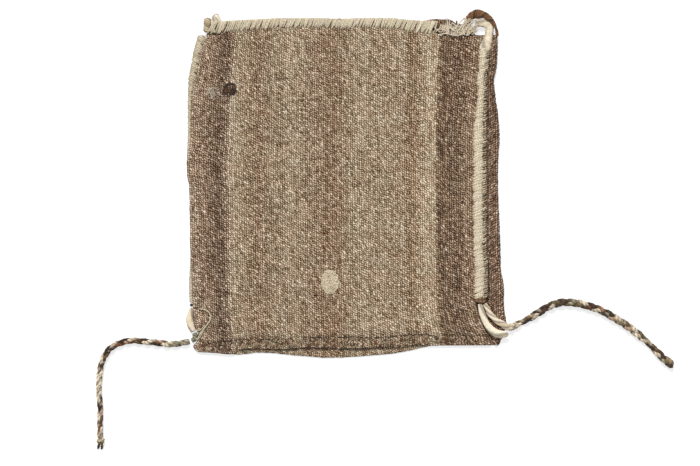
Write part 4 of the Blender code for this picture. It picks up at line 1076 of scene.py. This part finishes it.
def make_corners(surface):
    """Rovings, ties and ears at the four corners."""
    make_thick_yarn("left_corner_roving", surface, LEFT_CORNER_ROVING, LEFT_CORNER, 0.0,
                    ("cream", (232, 218, 190)), swell=1.12, pitch=0.09, groove=0.06, sides=16,
                    ends=(0.002, 0.001), seed=401)
    make_thick_yarn("left_corner_tie", surface, LEFT_CORNER_TIE, LEFT_CORNER, 0.0,
                    ("tie", "grey"), swell=1.15, pitch=0.009, groove=0.25, sides=14, ends=(0.001, 0.002), seed=402)
    make_thick_yarn("left_ear_cord", surface, LEFT_EAR_CORD, LEFT_MOUTH, ON_BACK_Z + 0.0038,
                    ("pale", "tan", "grey", "pale"), swell=1.08, pitch=0.012, groove=0.2, sides=20,
                    ends=(0.002, 0.003), rough=0.14, seed=403)
    make_thick_yarn("left_ear_loop", surface, LEFT_EAR_LOOP, LEFT_MOUTH, ON_BACK_Z + 0.0032,
                    ("cream", (236, 224, 200)), swell=1.22, pitch=0.04, groove=0.06, sides=14,
                    ends=(0.002, 0.002), rough=0.12, seed=404)
    curl_base = ON_CURL_Z + 0.003
    lower = RIGHT_LOWER_ROVING + ((8.6, 34.2, -1.6, 2.6, 2.4),)
    upper = RIGHT_UPPER_ROVING + ((9.0, 43.2, -1.0, 4.0, 3.0), (13.5, 42.8, -2.0, 3.0, 2.4))
    make_thick_yarn("right_corner_roving_lower", surface, lower, RIGHT_CORNER, curl_base,
                    ((238, 226, 202), "cream"), swell=1.10, pitch=0.12, groove=0.05, sides=18,
                    ends=(0.001, 0.004), seed=405)
    make_thick_yarn("right_corner_roving_upper", surface, upper, RIGHT_CORNER, curl_base,
                    ("cream", "pale", (232, 218, 194)), swell=1.15, pitch=0.045, groove=0.25, sides=18,
                    ends=(0.001, 0.003), seed=406)
    arch = RIGHT_EAR_CORD + ((-6.8, -20.0, 7.2, 1.8, 1.8), (-6.2, -26.0, 6.6, 1.9, 1.8))
    make_thick_yarn("right_ear_cord", surface, arch, RIGHT_MOUTH, ON_BACK_Z,
                    ("brown", "rust", (98, 74, 46), "chocolate", (138, 98, 58)), swell=1.22, pitch=0.014, groove=0.16, sides=24,
                    ends=(0.002, 0.002), rough=0.14, seed=407)
    bend = RIGHT_EAR_ROVING + ((-25.5, -46.5, 6.6, 4.8, 4.0),)
    make_thick_yarn("right_ear_roving", surface, bend, RIGHT_MOUTH, ON_BACK_Z,
                    ("cream", (232, 220, 196)), swell=1.36, pitch=0.12, groove=0.06, sides=18,
                    ends=(0.002, 0.001), rough=0.14, seed=408)
    knot = Yarn()
    turn = np.linspace(0, 3.2 * pi, 60)
    line = np.stack([
        LEFT_X + 0.0014 + 0.0014 * np.cos(turn), HEM_Y + 0.074 + 0.0011 * np.sin(turn),
        0.0017 + 0.0007 * turn / pi,
    ], axis=-1)
    knot.tube(line, 0.0010, 0.0009, [linear("black"), linear("dark")], pitch=0.004, sides=8,
              ends=(0.0006, 0.0006), seed=409)
    knot.finish("left_seam_knot_wool", surface, "left_seam_knot")


# Darns

DARNS = {
    "cream_darn": ((321.2, 339.0, 269.3, 294.2), ("cream", "cream", "pale"), 0.0017),
    "dark_darn": ((221.8, 237.8, 80.7, 96.8), ("dark", "chocolate", "brown"), 0.0015),
    "pale_darn": ((205.3, 221.8, 86.0, 101.4), ("grey", "pale", "pink"), 0.0014),
}


def make_darn(name, surface, seed):
    """Patch of stitches darned over and under each other."""
    (left, right, top, foot), wools, pitch = DARNS[name]
    random = np.random.default_rng(seed)
    yarn = Yarn()
    middle_px, reach_px = ((left + right) / 2, (top + foot) / 2), ((right - left) / 2, (foot - top) / 2)
    if name == "pale_darn":
        tangle(yarn, 12, middle_px, (5.2, 5.0), (0.006, 0.010), (0.0011, 0.0015), ("tan", "brown", "grey"),
               (0.0001, 0.0005), seed)
        tangle(yarn, 46, middle_px, (6.6, 6.2), (0.004, 0.009), (0.00055, 0.0009),
               ("grey", "pale", (206, 196, 184), (186, 166, 152), "pink"), (0.0008, 0.0018), seed + 50, 1.8)
    elif name == "dark_darn":
        tangle(yarn, 34, middle_px, (5.8, 5.6), (0.006, 0.010), (0.0012, 0.0018), ("chocolate", "brown", "dark"),
               (0.0001, 0.0006), seed, 0.5)
        tangle(yarn, 42, middle_px, (7.2, 7.2), (0.003, 0.006), (0.0006, 0.0010), ("dark", "black", "chocolate"),
               (0.0010, 0.0018), seed + 50, 0.4, heading=0.9)
    else:
        (x0, y0), (x1, y1) = spot(left, foot), spot(right, top)
        middle, reach = np.array([(x0 + x1) / 2, (y0 + y1) / 2]), np.array([(x1 - x0) / 2, (y1 - y0) / 2])
        for way in (0, 1):
            for i, place in enumerate(np.arange(-reach[way] + pitch / 2, reach[way], pitch)):
                half = reach[1 - way] * (1 - abs(place / reach[way]) ** 2.4) ** 0.45 * random.uniform(0.82, 1.02)
                run = np.arange(-half, half, 0.0007)
                if len(run) < 6:
                    continue
                drift = place + 0.0006 * wander(run, 0.004, seed + i)
                x, y = (drift, run) if way == 0 else (run, drift)
                weave = np.sin(pi * (run / pitch + i + way))
                lift = 0.0009 + 0.0005 * weave * (1 if way else -1)
                line = on_front(middle[0] + x, middle[1] + y, lift)
                first, second = random.integers(0, len(wools), 2)
                yarn.tube(line, pitch * 0.56, pitch * 0.38, [linear(wools[first]), linear(wools[second])],
                          pitch=0.004, groove=0.2, sides=8, ends=(0.001, 0.001), rough=0.12,
                          seed=seed + 40 * way + i)
        tangle(yarn, 26, middle_px, (reach_px[0] * 0.8, reach_px[1] * 0.85), (0.004, 0.008), (0.0007, 0.0011),
               ("cream", (238, 226, 202), "pale"), (0.0016, 0.0024), seed + 90, 0.8)
    yarn.finish(name + "_wool", surface, name)


def stitches_over(yarn, middles, wide, high, slant, wools, shades, thick, seed, reach=(-0.35, 3.5)):
    """Lay slanted stitches over a cord, one at each middle point.

    Wools are picked at random. Shades holds a share of the last wool for the outer, top and inner
    side of the cord. Slant is how far a stitch runs along Y for each metre across.
    """
    random = np.random.default_rng(seed)
    for i, (middle, half_wide, half_high) in enumerate(zip(middles, wide, high)):
        turn = np.linspace(*reach, 12)
        lean = slant * random.uniform(0.6, 1.4)
        size = random.uniform(0.94, 1.08)
        across_cord = -half_wide * size * np.cos(turn)
        line = np.stack([
            middle[0] + across_cord, middle[1] + lean * across_cord + random.uniform(-0.0005, 0.0005),
            middle[2] + half_high * size * np.sin(turn),
        ], axis=-1)
        first, second = linear(wools[random.integers(len(wools) - 1)]), linear(wools[random.integers(len(wools) - 1)])
        share = np.interp(turn, (0.2, 1.3, 2.9), shades)[:, None] * random.uniform(0.7, 1.3)
        plies = np.stack([ply * (1 - share) + linear(wools[-1]) * share for ply in (first, second)], axis=1)
        half = thick * random.uniform(0.85, 1.15)
        yarn.tube(route(np.column_stack([line, plies.reshape(12, -1)]), 0.0011)[:, :3], half, 0.8 * half,
                  route_tints(line, plies), pitch=0.005, groove=0.2, sides=8, guide=(-slant, 1.0, 0.0),
                  ends=(0.0006, 0.0006), rough=0.1, phase=random.uniform(0, 6), seed=seed + i)


def route_tints(line, plies):
    """Colours of the plies at the points of a route through a line."""
    rows = route(np.column_stack([line, plies.reshape(len(line), -1)]), 0.0011)
    return np.clip(rows[:, 3:], 0, 1).reshape(len(rows), 2, 3)


def on_cloth(points, lift):
    """Points given in pixels of the photograph and a height over the front cloth, in metres."""
    points = np.asarray(points, float)
    x, y = spot(points[:, 0], points[:, 1])
    return on_front(x, y, lift)


def tangle(yarn, count, centre, spread, length, thick, wools, height, seed, turning=1.2, heading=None):
    """Lay short curly threads at random over an oval of the cloth, given in pixels."""
    random = np.random.default_rng(seed)
    for i in range(count):
        angle, away = random.uniform(0, 2 * pi), np.sqrt(random.uniform(0, 1))
        steps = max(int(random.uniform(*length) / 0.0012), 4)
        bearing = random.uniform(0, 2 * pi) if heading is None else heading + random.normal(0, 0.35)
        bends = bearing + np.cumsum(random.normal(0, 0.35 * turning, steps)) + np.linspace(
            0, random.uniform(-1.6, 1.6) * turning, steps)
        line = np.cumsum(np.stack([np.cos(bends), np.sin(bends)], axis=-1) * 0.0012, axis=0)
        line -= line.mean(axis=0)
        line += spot(centre[0] + spread[0] * away * np.cos(angle), centre[1] + spread[1] * away * np.sin(angle))
        rise = random.uniform(*height) + 0.0004 * np.sin(np.arange(steps) * 1.3 + i)
        half = random.uniform(*thick)
        first, second = random.integers(0, len(wools), 2)
        yarn.tube(route(np.column_stack([line, height_over(line, rise)]), 0.0009), half, 0.85 * half,
                  [linear(wools[first]), linear(wools[second])], pitch=0.004, groove=0.2, sides=6,
                  ends=(0.0008, 0.0008), rough=0.12, seed=seed + i)


def height_over(line, rise):
    """Height of points over the front cloth, or over the back where the front is torn away."""
    x, y = line[:, 0], line[:, 1]
    front = front_height(x, np.minimum(y, front_top(x)))
    gone = ease((y - front_top(x)) / 0.012) * (x > across(-101))
    return front * (1 - gone) + 0.0062 * gone + CLOTH / 2 + rise


# Line along the front's hem edge, where dark dashes paint the shadow that falls there.
LOWER_HEM_LINE = (
    (236, 351.5), (240, 350), (252, 348.8), (266, 348.8), (288, 349.5), (306, 347.7), (321, 348), (337, 348.5),
    (354, 349), (370, 347.8), (385, 347), (406, 346), (418, 344.5), (432, 343.5),
)


UPPER_HEM_LINE = (
    (206, 343.5), (214, 342.6), (234, 340), (262, 339), (287, 338.5), (316, 337.3), (336, 337), (372, 337.5),
    (396, 336.3), (410, 334.4), (428, 334.4), (437, 336.5),
)


def make_hem(surface):
    """Hem band: mixed slanted stitches between a line of dark running stitches above and a line of dark dashes below,
    which paint the shadow along the front's hem edge.
    """
    random = np.random.default_rng(91)
    lower, upper = np.array(LOWER_HEM_LINE), np.array(UPPER_HEM_LINE)
    yarn = Yarn()
    mixed = ("tan", "brown", "purple", "pale", "pink", "brown", "tan", "rust", "grey")
    for i, px in enumerate(np.arange(200, 476, 1.75)):
        top = np.interp(px, *upper.T)
        foot = min(np.interp(px, *lower.T), 184 - (front_foot(spot(px, 0)[0]) - 0.001) / PIXEL)
        for row in (0.28, 0.70):
            if random.uniform() < 0.45:
                continue
            middle = top + (foot - top) * (row + random.uniform(-0.14, 0.14))
            lean = random.uniform(-0.9, 1.3)
            line = [(px - lean, middle + 1.5), (px - 0.3 * lean, middle + 0.5), (px + 0.3 * lean, middle - 0.5),
                    (px + lean, middle - 1.5)]
            points = on_cloth(line, 0.0)
            points[:, 2] += np.array((-0.0008, 0.0004, 0.0004, -0.0008))
            wool = linear(mixed[random.integers(len(mixed))])
            yarn.tube(route(points, 0.0008), 0.0013, 0.0010, [wool, wool * 0.8], pitch=0.004, sides=8,
                      ends=(0.001, 0.001), rough=0.12, seed=900 + i)
    # Upper line: dark running stitches. Lower line: dark dashes that stand for the shadow at the hem's edge, painted
    # shadow.
    for line, chance, first, last in ((upper, 0.72, 206, 438), (lower, 0.80, 238, 430)):
        for i, px in enumerate(np.arange(first, last, 2.5)):
            if random.uniform() > chance:
                continue
            py = np.interp(px, *line.T) + random.uniform(-0.5, 0.5)
            half = random.uniform(0.9, 1.7)
            tilt = random.uniform(-0.5, 0.7)
            points = on_cloth([(px - half, py + tilt), (px, py), (px + half, py - tilt)], 0.0)
            points[:, 2] += np.array((-0.0003, 0.0005, -0.0003))
            yarn.tube(route(points, 0.0007), random.uniform(0.0006, 0.0009), 0.0006,
                      [linear("dark"), linear("black" if i % 3 else "chocolate")], pitch=0.004, sides=6,
                      ends=(0.0006, 0.0006), seed=980 + i)
    yarn.finish("hem_stitches", surface)


def make_torn_corner(surface):
    """Pale threads pulled out of the torn corner, and the tangle below them."""
    yarn = Yarn()
    tangle(yarn, 60, (456, 29.5), (19, 5.5), (0.007, 0.014), (0.0010, 0.0014), ("brown", "tan", "chocolate", "pale"),
           (-0.0016, 0.0), 1000, 1.0)
    tangle(yarn, 95, (457, 30), (20, 5.0), (0.006, 0.014), (0.0006, 0.0010),
           ("cream", (222, 208, 188), (206, 188, 168), "pale"), (0.0004, 0.0028), 1100, 1.5)
    tangle(yarn, 34, (470, 25), (8, 8), (0.006, 0.012), (0.0006, 0.0010), ("cream", "pale", (214, 198, 178)),
           (0.0006, 0.0030), 1200, 1.4)
    threads = (
        ((432.0, 20.2), (433.5, 25.0), (436.0, 29.2), (438.6, 29.8), (440.4, 27.0), (441.0, 24.4)),
        ((447.0, 17.4), (447.4, 24.0), (447.2, 31.5)), ((449.8, 18.8), (449.0, 26.0), (448.2, 33.5)),
        ((464.5, 17.4), (459.5, 23.0), (455.0, 29.5)), ((467.0, 18.8), (463.0, 24.5), (458.0, 31.5)),
        ((443.0, 30.5), (449.0, 28.0), (454.0, 30.5)), ((470.5, 18.5), (466.0, 23.0), (462.5, 29.0), (465.0, 34.5)),
        ((438.0, 35.5), (446.0, 33.8), (455.0, 35.8), (462.0, 34.6)), ((476.0, 25.0), (470.0, 29.5), (466.5, 35.5)),
        ((452.0, 22.5), (456.5, 26.5), (462.0, 27.5)), ((474.0, 21.0), (468.0, 26.0), (466.0, 31.0)),
    )
    for i, points in enumerate(threads):
        line = np.array(points)
        x, y = spot(line[:, 0], line[:, 1])
        flat = np.column_stack([x, y])
        line = np.column_stack([flat, height_over(flat, 0.0030)])
        yarn.tube(route(line, 0.0009), 0.0009, 0.0008, [linear("cream"), linear((232, 222, 206))], pitch=0.004,
                  sides=6, ends=(0.0008, 0.0008), rough=0.12, seed=1300 + i)
    yarn.finish("torn_corner_threads", surface)


# Build

make_camera()
make_light()
make_floor()
wool = yarn_material("wool_yarn")
braid_wool = yarn_material("wool_braid", hollow_shade=0.35)
make_left_braid(braid_wool)
make_right_braid(braid_wool)
make_loose_thread(wool)

front_stripes = [((px - 190.3) / 2.2556, colour) for px, colour in FRONT_STRIPES_PX]
back_stripes = [((px - 190.3) / 2.2556, colour) for px, colour in FRONT_STRIPES_PX[:29]]
back_stripes += [(122, (128, 100, 76)), (BACK_COLUMNS, (118, 92, 70))]
make_front(cloth_material("striped_wool_front", front_stripes, FRONT_COLUMNS, dotted=17, notched=109))
make_back(cloth_material("striped_wool_back", back_stripes, BACK_COLUMNS))
make_binding(wool)
make_left_seam(wool)
make_right_seam(wool)
make_corners(wool)
for order, darn in enumerate(DARNS):
    make_darn(darn, wool, 500 + 100 * order)
make_hem(wool)
make_torn_corner(wool)

bpy.context.scene.view_settings.view_transform = "Standard"
